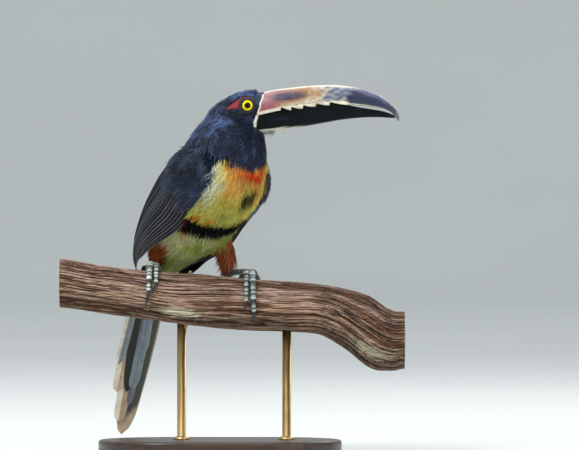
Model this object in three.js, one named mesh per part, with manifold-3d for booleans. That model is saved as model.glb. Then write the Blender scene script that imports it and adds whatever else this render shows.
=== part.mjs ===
// A collared aracari, a small toucan, life size, perched on a cut length of branch that two rods hold
// over a flat base. Millimetres, +Z up. The origin is the centre of the base's underside, and the
// branch runs along X.
import * as THREE from "three";
import { mergeVertices } from "three/addons/utils/BufferGeometryUtils.js";
import Module from "manifold-3d";

const wasm = await Module();
wasm.setup();

// ---- Driving dimensions ----
const GAP = 0.3; // between neighbouring pieces
const WING_GAP = 0.6; // between a wing and the body under it
const BODY_HEADING = -48; // degrees from +X: the breast faces right and forward
const HEAD_HEADING = -5; // the head is turned to the bird's left, so the bill points along +X
const BODY_CENTRE = new THREE.Vector3(-15.6, 6.3, 191);
const BILL_ROOT = new THREE.Vector3(30.4, -17, 268); // middle of the bill's base

const BASE = { length: 190, depth: 120, height: 11, bevel: 2.5 };
const ROD_RADIUS = 3.5;
const ROD_PLACES = [-30, 52]; // along X
const ROD_SOCKET = 5; // how deep a rod sits in the base

const RING_SIDES = 18; // round the body's sections
const THIGH_SIDES = 12;
const EYE_RADIUS = 5.2;

// ---- Materials ----
const paint = (color, roughness = 0.8, metalness = 0) =>
  new THREE.MeshStandardMaterial({ color, roughness, metalness });
const MATERIALS = {
  darkPlumage: paint(0x20242e),
  yellowPlumage: paint(0xc9b052),
  chestnutPlumage: paint(0x8a3f1d),
  tail: paint(0x5d6660),
  upperBill: paint(0xd8cdb4, 0.4),
  lowerBill: paint(0x1a1b20, 0.4),
  eye: paint(0xf2d400, 0.15),
  foot: paint(0x93a596, 0.6),
  claw: paint(0x23262a, 0.4),
  branch: paint(0x8a6a56, 0.9),
  base: paint(0x3a2a20, 0.4),
  rod: paint(0xb0a078, 0.3, 1),
};

// ---- Solids ----
function solidOf(geometry) {
  const bare = geometry.clone();
  bare.deleteAttribute("normal");
  bare.deleteAttribute("uv");
  const merged = mergeVertices(bare, 1e-4);
  return new wasm.Manifold(
    new wasm.Mesh({
      numProp: 3,
      vertProperties: merged.attributes.position.array,
      triVerts: new Uint32Array(merged.index.array),
    }),
  );
}

function geometryOf(solid) {
  const mesh = solid.getMesh();
  return new THREE.BufferGeometry()
    .setAttribute("position", new THREE.BufferAttribute(mesh.vertProperties, 3))
    .setIndex(new THREE.BufferAttribute(mesh.triVerts, 1));
}

// The largest body of a solid, without the slivers that a cut can leave.
function mainBody(solid) {
  return solid.decompose().reduce((a, b) => (b.volume() > a.volume() ? b : a));
}

const cut = (solid, ...others) =>
  mainBody(others.reduce((left, other) => left.subtract(other), solid));

const moved = (geometry, matrix) => solidOf(geometry.clone().applyMatrix4(matrix));

// ---- Lofts ----
// A closed skin through rings of points, which all have the same number and turn anticlockwise seen
// from the end.
function loft(rings) {
  const n = rings[0].length;
  const points = rings.flat();
  const faces = [];
  for (let i = 0; i + 1 < rings.length; i++)
    for (let j = 0; j < n; j++) {
      const a = i * n + j;
      const b = i * n + ((j + 1) % n);
      faces.push(a, b, b + n, a, b + n, a + n);
    }
  const end = (ring, first, flip) => {
    const middle = points.length;
    points.push(ring.reduce((s, p) => s.add(p), new THREE.Vector3()).divideScalar(n));
    for (let j = 0; j < n; j++) {
      const a = first + j;
      const b = first + ((j + 1) % n);
      faces.push(middle, flip ? b : a, flip ? a : b);
    }
  };
  end(rings[0], 0, true);
  end(rings[rings.length - 1], (rings.length - 1) * n, false);
  return new THREE.BufferGeometry().setFromPoints(points).setIndex(faces);
}

// Smooth value of one size between the stations of a table, at u from 0 to the last station's number.
function between(stations, u, size) {
  const last = stations.length - 1;
  const i = Math.min(Math.floor(u), last - 1);
  const t = u - i;
  const at = (k) => size(stations[Math.max(0, Math.min(last, k))]);
  const [a, b, c, d] = [at(i - 1), at(i), at(i + 1), at(i + 2)];
  return (
    b + 0.5 * t * (c - a + t * (2 * a - 5 * b + 4 * c - d + t * (3 * (b - c) + d - a)))
  );
}

// The frame across a run of stations at u: its middle, the way it runs, the way its front faces and
// its left. Stations hold a centre (at). Those of a body also hold the heading that its front faces
// and the pitch of the run, in degrees.
function crossFrame(stations, u) {
  const last = stations.length - 1;
  const centre = (v) =>
    new THREE.Vector3(...[0, 1, 2].map((k) => between(stations, v, (s) => s.at[k])));
  const near = 1e-2;
  const along = centre(Math.min(u + near, last))
    .sub(centre(Math.max(u - near, 0)))
    .normalize();
  const heading = THREE.MathUtils.degToRad(between(stations, u, (s) => s.heading ?? 0));
  if (stations[0].pitch !== undefined) {
    const pitch = THREE.MathUtils.degToRad(between(stations, u, (s) => s.pitch));
    const level = new THREE.Vector3(Math.cos(heading), Math.sin(heading), 0);
    along.copy(level.multiplyScalar(Math.cos(pitch)).setZ(Math.sin(pitch)));
  }
  const left = new THREE.Vector3(-Math.sin(heading), Math.cos(heading), 0);
  left.addScaledVector(along, -left.dot(along)).normalize();
  const ahead = new THREE.Vector3().crossVectors(left, along);
  return { middle: centre(u), along, left, ahead };
}

// A limb or body between two of its stations, which also hold half sizes across (wide), behind (back)
// and ahead (front). grow swells it, for cutting its neighbours with a gap.
function flesh(stations, { from = 0, to, steps = 2, sides = RING_SIDES, grow = 0 } = {}) {
  const last = to ?? stations.length - 1;
  const count = (last - from) * steps;
  const rings = [];
  for (let i = 0; i <= count; i++) {
    const u = from + i / steps;
    const { middle, along, left, ahead } = crossFrame(stations, u);
    const size = (key) => Math.max(0.4, between(stations, u, (s) => s[key])) + grow;
    const ring = [];
    for (let j = 0; j < sides; j++) {
      const angle = (2 * Math.PI * j) / sides;
      const reach = Math.cos(angle) > 0 ? size("front") : size("back");
      ring.push(
        middle
          .clone()
          .addScaledVector(ahead, reach * Math.cos(angle))
          .addScaledVector(left, size("wide") * Math.sin(angle)),
      );
    }
    const further = (far) => ring.map((p) => p.clone().addScaledVector(along, far));
    if (grow > 0 && i === 0) rings.push(further(-grow));
    rings.push(ring);
    if (grow > 0 && i === count) rings.push(further(grow));
  }
  return loft(rings);
}

// A round limb through stations of a centre and a radius.
const limb = (stations, options) =>
  flesh(
    stations.map(([x, y, z, r]) => ({ at: [x, y, z], wide: r, back: r, front: r })),
    { sides: 8, steps: 1, ...options },
  );

// ---- Frames ----
const root = new THREE.Group();
const bird = new THREE.Group();
bird.position.copy(BODY_CENTRE);
bird.rotation.z = THREE.MathUtils.degToRad(BODY_HEADING);
const head = new THREE.Group();
head.rotation.z = THREE.MathUtils.degToRad(HEAD_HEADING - BODY_HEADING);
bird.updateMatrixWorld();
head.position.copy(bird.worldToLocal(BILL_ROOT.clone()));
bird.add(head);
root.add(bird);
root.updateMatrixWorld(true);
const BIRD_IN_ROOT = bird.matrixWorld.clone();
const ROOT_IN_BIRD = BIRD_IN_ROOT.clone().invert();
const HEAD_IN_BIRD = head.matrix.clone();

function add(group, name, solid, material) {
  const mesh = new THREE.Mesh(geometryOf(solid), material);
  mesh.geometry.computeVertexNormals();
  mesh.name = name;
  group.add(mesh);
}

// ---- Perch, along X ----
// Stations: x, height of the axis, half height. The branch sags into a knee at its right end.
const PERCH = [
  [-125, 132.6, 18.7],
  [-94, 128.7, 18.3],
  [-55, 124, 18.7],
  [-15.6, 119.7, 19.9],
  [23, 116.4, 19.7],
  [55, 114.3, 19.1],
  [78, 112, 19.3],
  [97.5, 105.3, 23],
  [117, 95.5, 27.7],
  [133, 89.3, 23.8],
  [144, 89.3, 22.2],
];
const PERCH_SIDES = 18;
const PERCH_DEPTH = 0.97; // of its height
const perchAt = (x) => {
  const k = PERCH.findIndex((s) => s[0] >= x);
  const i = Math.max(1, k) - 1;
  const u = i + (x - PERCH[i][0]) / (PERCH[i + 1][0] - PERCH[i][0]);
  return { z: between(PERCH, u, (s) => s[1]), r: between(PERCH, u, (s) => s[2]) };
};

function perchGeometry(grow = 0) {
  const rings = [];
  const steps = 2;
  const count = (PERCH.length - 1) * steps;
  for (let i = 0; i <= count; i++) {
    const u = i / steps;
    const [x, z, r] = [0, 1, 2].map((k) => between(PERCH, u, (s) => s[k]));
    const ring = [];
    for (let j = 0; j < PERCH_SIDES; j++) {
      const angle = (-2 * Math.PI * j) / PERCH_SIDES;
      // Long shallow furrows wander round the branch.
      const furrow = 0.45 * Math.sin(3 * angle + x / 31) + 0.35 * Math.sin(5 * angle - x / 17);
      const radius = r + furrow + grow;
      ring.push(
        new THREE.Vector3(
          x,
          PERCH_DEPTH * radius * Math.sin(angle),
          z + radius * Math.cos(angle),
        ),
      );
    }
    rings.push(ring);
  }
  return loft(rings);
}

// ---- Trunk, neck and head ----
// One run of stations from the tail's root to the nape, in the root frame, because it turns from the
// body's heading to the head's. The trunk ends and the neck starts at HOOD, the lower edge of the dark
// hood.
const BODY = [
  { at: [-50, 44.6, 138], wide: 9, back: 4, front: 4, heading: -48, pitch: 46 },
  { at: [-44.5, 38.3, 145], wide: 16, back: 8, front: 9, heading: -48, pitch: 47 },
  { at: [-38, 31, 156], wide: 24, back: 15, front: 17, heading: -48, pitch: 48 },
  { at: [-31.2, 23.6, 167], wide: 31, back: 22, front: 24, heading: -48, pitch: 48 },
  { at: [-23.5, 15, 179], wide: 35, back: 27, front: 29, heading: -48, pitch: 49 },
  { at: [-15.6, 6.3, 191], wide: 37, back: 31, front: 32, heading: -48, pitch: 51 },
  { at: [-6, -4.4, 206], wide: 38, back: 35, front: 36, heading: -48, pitch: 55 },
  { at: [1.5, -12.5, 220], wide: 37, back: 36, front: 37, heading: -48, pitch: 60 },
  { at: [4.5, -15.5, 231], wide: 34, back: 34, front: 35, heading: -44, pitch: 65 },
  { at: [6.5, -17, 242], wide: 30, back: 30, front: 33, heading: -34, pitch: 71 },
  { at: [8.5, -17, 253], wide: 23.5, back: 25, front: 28, heading: -20, pitch: 78 },
  { at: [10.5, -17, 262], wide: 16.5, back: 18.5, front: 17, heading: -10, pitch: 84 },
  { at: [11.5, -17, 267], wide: 9, back: 11, front: 10, heading: -5, pitch: 87 },
];
const HOOD = 8;
const trunkGeometry = (grow = 0) => flesh(BODY, { to: HOOD, grow });
const neckGeometry = (grow = 0) => flesh(BODY, { from: HOOD, grow });

// In the head's frame: +X runs to the bill, and each section lies across it.
const HEAD = [
  [-41, -6.5, 2, 2],
  [-37, -5.8, 7.8, 9],
  [-28.5, -4.8, 12.6, 13.4],
  [-18, -2.2, 16.4, 15.6],
  [-8, -1, 17.6, 15.4],
  [0, -0.7, 17, 12.6],
];
function headGeometry(grow = 0) {
  const steps = 2;
  const rings = [];
  for (let i = 0; i <= (HEAD.length - 1) * steps; i++) {
    const u = i / steps;
    const [x, z, high, wide] = [0, 1, 2, 3].map((k) => between(HEAD, u, (s) => s[k]));
    const end = i === 0 ? -grow : 0;
    const ring = [];
    for (let j = 0; j < RING_SIDES; j++) {
      const angle = (2 * Math.PI * j) / RING_SIDES;
      ring.push(
        new THREE.Vector3(
          x + end,
          (wide + grow) * Math.cos(angle),
          z + (high + grow) * Math.sin(angle),
        ),
      );
    }
    rings.push(ring);
  }
  return loft(rings);
}

// ---- Bill ----
const curve = (points) =>
  new THREE.CatmullRomCurve3(points.map(([x, z]) => new THREE.Vector3(x, 0, z)), false);
const CULMEN = curve([
  [1, 13.4], [13.3, 16.1], [25.1, 17.5], [38, 18.9], [53.2, 19.6], [66, 19.1], [77.5, 17.4],
  [89.3, 13.6], [97.1, 9.7], [103.4, 4.2], [107.3, -0.1], [109.4, -4.6], [109.3, -8.4],
]);
const TOMIUM = curve([
  [1, -3.8], [18, -0.2], [26, 0], [35, 1.1], [45, 2.7], [56, 3.8],
  [69.5, 4.4], [82, 4.7], [89, 4.1], [95, 1.8], [103.4, -0.9], [106.6, -4], [108.9, -8.9],
]);
const LOWER_EDGE = curve([
  [1, -4.4], [13.3, -2.8], [25.8, -0.8], [38, 0.5], [49.3, 2], [58, 3], [66, 3.2],
  [80.6, 2.1], [89.3, -0.2], [97.1, -1.9], [103.4, -3.2], [107, -4.6],
]);
const GONYS = curve([
  [1, -16.2], [16.4, -14.6], [29, -13.3], [40.7, -11.7], [53.2, -9.4], [65, -7.4],
  [80.6, -5.8], [93.2, -5.5], [101, -5.9], [106.8, -6],
]);
const BILL_STEPS = 20;
const BILL_HALF_WIDTH = 13;
const billHalfWidth = (t) => 0.5 + BILL_HALF_WIDTH * Math.pow(1 - t, 0.72) * (1 - 0.12 * t);
const TEETH = [18, 26, 35.2, 45, 55.8, 69.7]; // where each tooth of the upper bill ends
const TOOTH_DEPTH = 2.6;
const TOOTH_NOTCH = 4.5; // its length, along the bill

// One mandible: arched from its ridge line to its cutting edge, which is a flat.
function mandible(ridge, edge, widthShare, grow = 0) {
  const arc = 10;
  const rings = [];
  for (let i = 0; i <= BILL_STEPS; i++) {
    const t = i / BILL_STEPS;
    const top = ridge.getPoint(t);
    const low = edge.getPoint(t);
    const up = Math.sign(top.z - low.z);
    top.z += up * grow;
    low.z -= up * grow;
    const wide = widthShare * billHalfWidth(t) + grow;
    const ring = [];
    for (let j = 0; j <= arc; j++) {
      const angle = (Math.PI * j) / arc;
      const rise = Math.pow(Math.sin(angle), 0.8);
      const p = low.clone().lerp(top, rise);
      p.y = wide * Math.sign(Math.cos(angle)) * Math.pow(Math.abs(Math.cos(angle)), 0.75);
      ring.push(p);
    }
    if (up < 0) ring.reverse();
    rings.push(ring);
  }
  return loft(rings);
}

function upperBill() {
  const notches = TEETH.map((x) => {
    const t = x / TOMIUM.points[TOMIUM.points.length - 1].x;
    const z = TOMIUM.getPoint(t * 0.97).z;
    const wedge = new THREE.Shape([
      new THREE.Vector2(0, -TOOTH_DEPTH * 2),
      new THREE.Vector2(TOOTH_NOTCH, -TOOTH_DEPTH * 2),
      new THREE.Vector2(0, TOOTH_DEPTH),
    ]);
    const prism = new THREE.ExtrudeGeometry(wedge, {
      depth: 4 * BILL_HALF_WIDTH,
      bevelEnabled: false,
    });
    prism.rotateX(Math.PI / 2).translate(x, 2 * BILL_HALF_WIDTH, z);
    return solidOf(prism);
  });
  return cut(solidOf(mandible(CULMEN, TOMIUM, 1)), ...notches);
}

// ---- Eyes ----
const EYE = new THREE.Vector3(-7.9, 11.8, 3.7); // left eye, in the head's frame
const eyeGeometry = (side, grow = 0) =>
  new THREE.SphereGeometry(EYE_RADIUS + grow, 16, 10)
    .rotateX(Math.PI / 2)
    .translate(EYE.x, side * EYE.y, EYE.z);

// ---- Wings ----
// A folded wing is a shell round the body's run: at each of its stations from the tip of the longest
// flight feathers up to the shoulder it covers the angles (degrees from the front) between its two
// edges, "thick" deep.
const WING = [
  { wide: 30, back: 12, front: 9, edges: [80, 98], thick: 1.2 },
  { wide: 38, back: 23, front: 19, edges: [68, 148], thick: 6 },
  { wide: 41, back: 30, front: 27, edges: [60, 168], thick: 9 },
  { wide: 43.5, back: 35, front: 32, edges: [57, 172], thick: 11 },
  { wide: 45, back: 37, front: 35, edges: [55, 169], thick: 12 },
  { wide: 46, back: 39, front: 39, edges: [54, 158], thick: 12 },
  { wide: 43, back: 40, front: 40, edges: [58, 142], thick: 10 },
  { wide: 38, back: 37.5, front: 38, edges: [72, 122], thick: 6 },
];
const WING_TIP = 1; // its tip lies at this station of the body's run
const WING_SAMPLES = 9; // from edge to edge
const WING_EDGE = 4; // how far the shell sinks towards the body at its two edges
const TUCK = { left: 0, right: 0.5 }; // how much closer to the body each wing is held
const FORWARD = { left: 16, right: 0 }; // and by how many degrees it is slung forward

function wingGeometry(side, grow = 0) {
  const tuck = side > 0 ? TUCK.left : TUCK.right;
  const forward = side > 0 ? FORWARD.left : FORWARD.right;
  const steps = 2;
  const rings = [];
  for (let i = 0; i <= (WING.length - 1) * steps; i++) {
    const w = i / steps;
    const value = (pick) => between(WING, w, pick);
    const { middle, left, ahead } = crossFrame(BODY, WING_TIP + w);
    const slack = Math.min(1, value((s) => s.thick) / WING_EDGE) * WING_EDGE;
    const at = (share, depth) => {
      const swell = THREE.MathUtils.radToDeg(grow / 30);
      const edges = [
        value((s) => s.edges[0]) - swell - forward * Math.min(1, w / 2),
        value((s) => s.edges[1]) + swell,
      ];
      const angle = THREE.MathUtils.degToRad(THREE.MathUtils.lerp(...edges, share));
      const sink = depth + 0.5 * slack * Math.pow(Math.abs(2 * share - 1), 4);
      const reach = value((s) => (Math.cos(angle) > 0 ? s.front : s.back)) - sink;
      return middle
        .clone()
        .addScaledVector(ahead, reach * Math.cos(angle))
        .addScaledVector(left, side * (value((s) => s.wide) - tuck - sink) * Math.sin(angle));
    };
    const outer = [];
    const inner = [];
    for (let j = 0; j <= WING_SAMPLES; j++) {
      outer.push(at(j / WING_SAMPLES, -grow));
      inner.push(at(1 - j / WING_SAMPLES, value((s) => s.thick) + grow));
    }
    const ring = [...outer, ...inner];
    if (side < 0) ring.reverse();
    rings.push(ring);
  }
  return loft(rings);
}

// ---- Tail ----
// Five pairs of graduated feathers, stacked with the longest pair on the back. Each is a thin slab
// with a rounded tip.
const TAIL = {
  root: new THREE.Vector3(-57, -4, -50),
  pitch: 74, // degrees below level
  longest: 130,
  step: [0, 7, 18, 34, 58], // how much shorter each pair is
  halfWidth: 9.5,
  fan: 1, // degrees between pairs
  first: 2.2, // from the middle of the tail to the first pair's
  offset: 1.2, // between the pairs' roots, sideways
  skew: 0.8, // how much more that is on the bird's right, where the tail is spread further
  thick: 1.1,
  yaw: 1.4, // to the bird's left, of the whole tail
};

function tailSolid() {
  const feathers = [];
  for (let pair = 0; pair < TAIL.step.length; pair++)
    for (const side of [-1, 1]) {
      const length = TAIL.longest - TAIL.step[pair];
      const w = TAIL.halfWidth;
      const plan = new THREE.Shape();
      plan.moveTo(0, -0.55 * w);
      plan.lineTo(0.3 * length, -w);
      plan.lineTo(length - 2.4 * w, -0.9 * w);
      plan.quadraticCurveTo(length - 0.4 * w, -0.75 * w, length, 0);
      plan.quadraticCurveTo(length - 0.4 * w, 0.75 * w, length - 2.4 * w, 0.9 * w);
      plan.lineTo(0.3 * length, w);
      plan.lineTo(0, 0.55 * w);
      const slab = new THREE.ExtrudeGeometry(plan, {
        depth: TAIL.thick,
        bevelEnabled: false,
        curveSegments: 3,
      });
      // Lower pairs lie further under and spread further out.
      slab.translate(0, 0, -TAIL.thick - 0.8 * TAIL.thick * pair - 0.25 * (side + 1));
      slab.rotateX(THREE.MathUtils.degToRad(-side * 7));
      slab.rotateZ(THREE.MathUtils.degToRad(side * TAIL.fan * (pair + 0.4) - TAIL.yaw));
      const apart = TAIL.offset + (side > 0 ? TAIL.skew : 0);
      slab.translate(0, side * (TAIL.first + apart * pair), 0);
      slab.rotateY(THREE.MathUtils.degToRad(TAIL.pitch));
      slab.rotateZ(Math.PI);
      slab.translate(...TAIL.root.toArray());
      feathers.push(solidOf(slab));
    }
  return feathers.reduce((all, one) => all.add(one));
}

// ---- Legs, in the root frame ----
// side is +1 for the bird's left leg, which stands to the right of the other along the perch.
const LEGS = {
  left: {
    foot: 23.3, // where the toes meet, along the perch
    ahead: 4, // degrees round the perch from its top, towards the front
    thigh: [
      [-6, 16, 176, 12],
      [0, 19, 166, 11.5],
      [4, 22, 155, 9.6],
      [5.4, 24, 146, 6.6],
      [5.8, 25, 139.5, 3.6],
    ],
    heel: [5.8, 25, 139.6],
    side: 1,
  },
  right: {
    foot: -52.4,
    ahead: -15,
    thigh: [
      [-41, 4, 178, 12],
      [-46.5, 10, 168, 12],
      [-49.5, 17, 157, 10],
      [-50.6, 23.5, 148.5, 6.8],
      [-51, 27.6, 143, 3.8],
    ],
    heel: [-51, 27.6, 143.2],
    side: -1,
  },
};
// Each toe: how far it reaches round the perch from the foot, in degrees, how far it strays outwards,
// its radii and its claw.
const TOES = {
  1: { from: -4, reach: -58, out: -7, root: -3.2, thick: 2.5, thin: 1.5, claw: 7 },
  2: { from: 4, reach: 78, out: -0.1, root: -2.6, thick: 2.5, thin: 1.6, claw: 8 },
  3: { from: 4, reach: 100, out: 1.6, root: 1.6, thick: 2.9, thin: 1.8, claw: 11 },
  4: { from: -4, reach: -84, out: 7, root: 2.6, thick: 2.7, thin: 1.6, claw: 9 },
};
const CLAW_DRIFT = -3.2; // along the perch, from a front claw's base to its tip
const TOE_LIFT = 0.4; // how far a toe's underside stands off the bark

function onPerch(x, degrees, above) {
  const { z, r } = perchAt(x);
  const angle = THREE.MathUtils.degToRad(degrees);
  return [
    x,
    -(PERCH_DEPTH * r + above) * Math.sin(angle),
    z + (r + above) * Math.cos(angle),
  ];
}

function toeStations(leg, toe) {
  const joints = 6;
  const stations = [];
  for (let k = 0; k <= joints; k++) {
    const t = k / joints;
    const radius = THREE.MathUtils.lerp(toe.thick, toe.thin, t) * (k % 2 ? 0.92 : 1.04);
    const x = leg.foot + leg.side * (toe.root + toe.out * Math.pow(t, 0.8));
    const degrees = leg.ahead + toe.from + (toe.reach - toe.from) * t;
    const hump = 2.2 * Math.pow(1 - t, 2.5);
    stations.push([...onPerch(x, degrees, radius + TOE_LIFT + hump), radius]);
  }
  return stations;
}

function clawStations(leg, toe) {
  const { r } = perchAt(leg.foot);
  const sweep = (THREE.MathUtils.radToDeg(toe.claw / r)) * Math.sign(toe.reach);
  const stations = [];
  const parts = 4;
  for (let k = 0; k <= parts; k++) {
    const t = k / parts;
    const drift = toe.reach > 0 ? CLAW_DRIFT : 0;
    const x = leg.foot + leg.side * (toe.root + toe.out) + drift * t * t;
    const radius = toe.thin * 0.8 * (1 - 0.82 * t);
    const degrees = leg.ahead + toe.reach + 1.5 * Math.sign(toe.reach) + sweep * t;
    const arch = 1.5 * Math.sin(Math.PI * t);
    stations.push([...onPerch(x, degrees, toe.thin * (1 - t) + radius * t + TOE_LIFT + arch), radius]);
  }
  return stations;
}

const tarsusStations = (leg) => {
  const [hx, hy, hz] = leg.heel;
  const [fx, fy, fz] = onPerch(leg.foot, leg.ahead, 4.8);
  const at = (t, lift, r) => [
    hx + (fx - hx) * t,
    hy + (fy - hy) * t,
    hz + (fz - hz) * t + lift,
    r,
  ];
  return [at(0, 0, 2.9), at(0.12, 0.9, 3.2), at(0.5, 1.6, 2.5), at(0.85, 0.9, 2.9), at(1, 0, 3.3)];
};

// ---- Assembly ----
const perch = solidOf(perchGeometry());
const perchCutter = solidOf(perchGeometry(GAP));
const perchCutterInBird = moved(perchGeometry(GAP), ROOT_IN_BIRD);

const trunk = cut(moved(trunkGeometry(), ROOT_IN_BIRD), perchCutterInBird);
const trunkCutter = moved(trunkGeometry(GAP), ROOT_IN_BIRD);
const neckCutter = moved(neckGeometry(GAP), ROOT_IN_BIRD);
const headCutter = moved(headGeometry(GAP), HEAD_IN_BIRD);
const upper = upperBill();
const lower = cut(solidOf(mandible(GONYS, LOWER_EDGE, 0.93)));
const billCutter = [mandible(CULMEN, TOMIUM, 1, GAP), mandible(GONYS, LOWER_EDGE, 0.93, GAP)].map(
  (g) => moved(g.translate(-GAP, 0, 0), HEAD_IN_BIRD),
);
const neck = cut(moved(neckGeometry(), ROOT_IN_BIRD), trunkCutter, headCutter, ...billCutter);
const tail = cut(tailSolid(), trunkCutter);

add(bird, "trunk", trunk, MATERIALS.yellowPlumage);
add(bird, "neck", neck, MATERIALS.darkPlumage);
add(bird, "tail", tail, MATERIALS.tail);
add(
  head,
  "head",
  cut(solidOf(headGeometry()), solidOf(eyeGeometry(-1, GAP)), solidOf(eyeGeometry(1, GAP))),
  MATERIALS.darkPlumage,
);
add(head, "bill_upper", upper, MATERIALS.upperBill);
add(head, "bill_lower", lower, MATERIALS.lowerBill);

const wings = {};
for (const [name, side] of [["left", 1], ["right", -1]]) {
  add(head, "eye_" + name, solidOf(eyeGeometry(side)), MATERIALS.eye);
  wings[name] = cut(
    moved(wingGeometry(side), ROOT_IN_BIRD),
    moved(trunkGeometry(WING_GAP), ROOT_IN_BIRD),
    moved(neckGeometry(WING_GAP), ROOT_IN_BIRD),
    headCutter,
    perchCutterInBird,
  );
  add(bird, "wing_" + name, wings[name], MATERIALS.darkPlumage);
}

const trunkCutterInRoot = solidOf(trunkGeometry(GAP));
for (const [name, leg] of Object.entries(LEGS)) {
  const wingCutter = solidOf(wingGeometry(leg.side, GAP));
  const thigh = cut(
    solidOf(limb(leg.thigh, { sides: THIGH_SIDES, steps: 2 })),
    trunkCutterInRoot,
    wingCutter,
    perchCutter,
  );
  add(root, "thigh_" + name, thigh, MATERIALS.chestnutPlumage);
  const thighCutter = solidOf(limb(leg.thigh, { sides: THIGH_SIDES, steps: 2, grow: GAP }));
  const tarsus = cut(
    solidOf(limb(tarsusStations(leg), { steps: 2 })),
    thighCutter,
    wingCutter,
    perchCutter,
  );
  add(root, "tarsus_" + name, tarsus, MATERIALS.foot);
  const taken = [
    perchCutter,
    thighCutter,
    wingCutter,
    solidOf(limb(tarsusStations(leg), { steps: 2, grow: GAP })),
  ];
  for (const number of [3, 4, 2, 1]) {
    const toe = TOES[number];
    const shape = limb(toeStations(leg, toe));
    add(root, `toe_${name}_${number}`, cut(solidOf(shape), ...taken), MATERIALS.foot);
    taken.push(solidOf(limb(toeStations(leg, toe), { grow: GAP })));
    const claw = cut(solidOf(limb(clawStations(leg, toe), { sides: 6 })), ...taken);
    add(root, `claw_${name}_${number}`, claw, MATERIALS.claw);
  }
}

add(root, "perch", perch, MATERIALS.branch);

// ---- Stand ----
function baseGeometry() {
  const corner = BASE.depth / 2 - BASE.bevel;
  const half = BASE.length / 2 - BASE.bevel - corner;
  const outline = new THREE.Shape();
  outline.absarc(half, 0, corner, -Math.PI / 2, Math.PI / 2);
  outline.absarc(-half, 0, corner, Math.PI / 2, 1.5 * Math.PI);
  const geometry = new THREE.ExtrudeGeometry(outline, {
    depth: BASE.height - BASE.bevel,
    bevelThickness: BASE.bevel,
    bevelSize: BASE.bevel,
    bevelSegments: 2,
    curveSegments: 10,
  });
  return geometry;
}
// The bevel is kept on the top edge only: everything under the floor is cut away.
const floorCutter = solidOf(
  new THREE.BoxGeometry(2 * BASE.length, 2 * BASE.length, 100).translate(0, 0, -50),
);
let base = cut(solidOf(baseGeometry()), floorCutter);
const rodShape = (x, grow = 0) => {
  const bottom = BASE.height - ROD_SOCKET - grow;
  const top = perchAt(x).z;
  return solidOf(
    new THREE.CylinderGeometry(ROD_RADIUS + grow, ROD_RADIUS + grow, top - bottom, 24)
      .rotateX(Math.PI / 2)
      .translate(x, 0, (top + bottom) / 2),
  );
};
for (const x of ROD_PLACES) base = cut(base, rodShape(x, GAP));
add(root, "stand_base", base, MATERIALS.base);
ROD_PLACES.forEach((x, i) =>
  add(root, `stand_rod_${i + 1}`, cut(rodShape(x), perchCutter), MATERIALS.rod),
);

export default root;
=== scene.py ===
"""The looks of a collared aracari on a cut branch over a display stand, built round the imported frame.

Shapes are worked out in millimetres in numpy arrays and become metres when a mesh is made.
"""

import math

import bpy
import numpy as np
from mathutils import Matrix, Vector
from mathutils.bvhtree import BVHTree


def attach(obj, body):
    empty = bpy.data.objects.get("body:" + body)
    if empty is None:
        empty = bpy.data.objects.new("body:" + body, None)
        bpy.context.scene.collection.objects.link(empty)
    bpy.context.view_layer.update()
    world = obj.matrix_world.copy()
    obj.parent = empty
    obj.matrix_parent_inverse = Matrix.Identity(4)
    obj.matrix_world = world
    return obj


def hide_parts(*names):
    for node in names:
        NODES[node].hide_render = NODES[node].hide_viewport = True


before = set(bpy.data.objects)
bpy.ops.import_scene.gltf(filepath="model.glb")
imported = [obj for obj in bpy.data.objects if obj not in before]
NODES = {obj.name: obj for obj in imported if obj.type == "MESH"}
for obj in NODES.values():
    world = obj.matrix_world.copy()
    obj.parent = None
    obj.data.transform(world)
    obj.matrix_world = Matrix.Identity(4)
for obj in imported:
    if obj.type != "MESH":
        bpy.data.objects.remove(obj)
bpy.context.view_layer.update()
RNG = np.random.default_rng(11)
MM = 0.001
UP = np.array([0.0, 0.0, 1.0])

# ---- The bird's frames, as in the CAD ----
BODY_CENTRE = np.array([-15.6, 6.3, 191.0])
BODY_HEADING = math.radians(-48)
BODY_PITCH = math.radians(50)
HEAD_HEADING = math.radians(-5)
BILL_ROOT = np.array([30.4, -17.0, 268.0])
EYE = np.array([-7.9, 11.8, 3.7])  # left eye, from the bill's root, in the head's frame

BODY_AHEAD = np.array([math.cos(BODY_HEADING), math.sin(BODY_HEADING), 0.0])
BODY_LEFT = np.array([-math.sin(BODY_HEADING), math.cos(BODY_HEADING), 0.0])
BODY_ALONG = math.cos(BODY_PITCH) * BODY_AHEAD + math.sin(BODY_PITCH) * UP
BODY_BELLY = math.sin(BODY_PITCH) * BODY_AHEAD - math.cos(BODY_PITCH) * UP
HEAD_AHEAD = np.array([math.cos(HEAD_HEADING), math.sin(HEAD_HEADING), 0.0])
HEAD_LEFT = np.array([-math.sin(HEAD_HEADING), math.cos(HEAD_HEADING), 0.0])

# The run of the body, from the bill's root to the tail's, which the plumage lies along.
RUN = np.array(
    [
        [31, -17, 270], [16, -16, 268], [7, -16, 256], [4, -15, 238],
        [-3, -8, 216], [-15.6, 6.3, 191], [-31, 23.6, 167], [-50, 44.6, 138],
    ]
)


def body_coords(p):
    """How far points lie up the trunk, to its left and towards its belly, from its middle."""
    d = p - BODY_CENTRE
    return d @ BODY_ALONG, d @ BODY_LEFT, d @ BODY_BELLY


def head_coords(p):
    """How far points lie ahead of the bill's root, to its left and over it."""
    d = p - BILL_ROOT
    return d @ HEAD_AHEAD, d @ HEAD_LEFT, d[..., 2]


def from_head(x, y, z):
    """The points that head_coords gives x, y and z for."""
    outer = np.multiply.outer
    return BILL_ROOT + outer(x, HEAD_AHEAD) + outer(y, HEAD_LEFT) + outer(z, UP)


def unit(v):
    return v / np.maximum(np.linalg.norm(v, axis=-1, keepdims=True), 1e-9)


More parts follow.
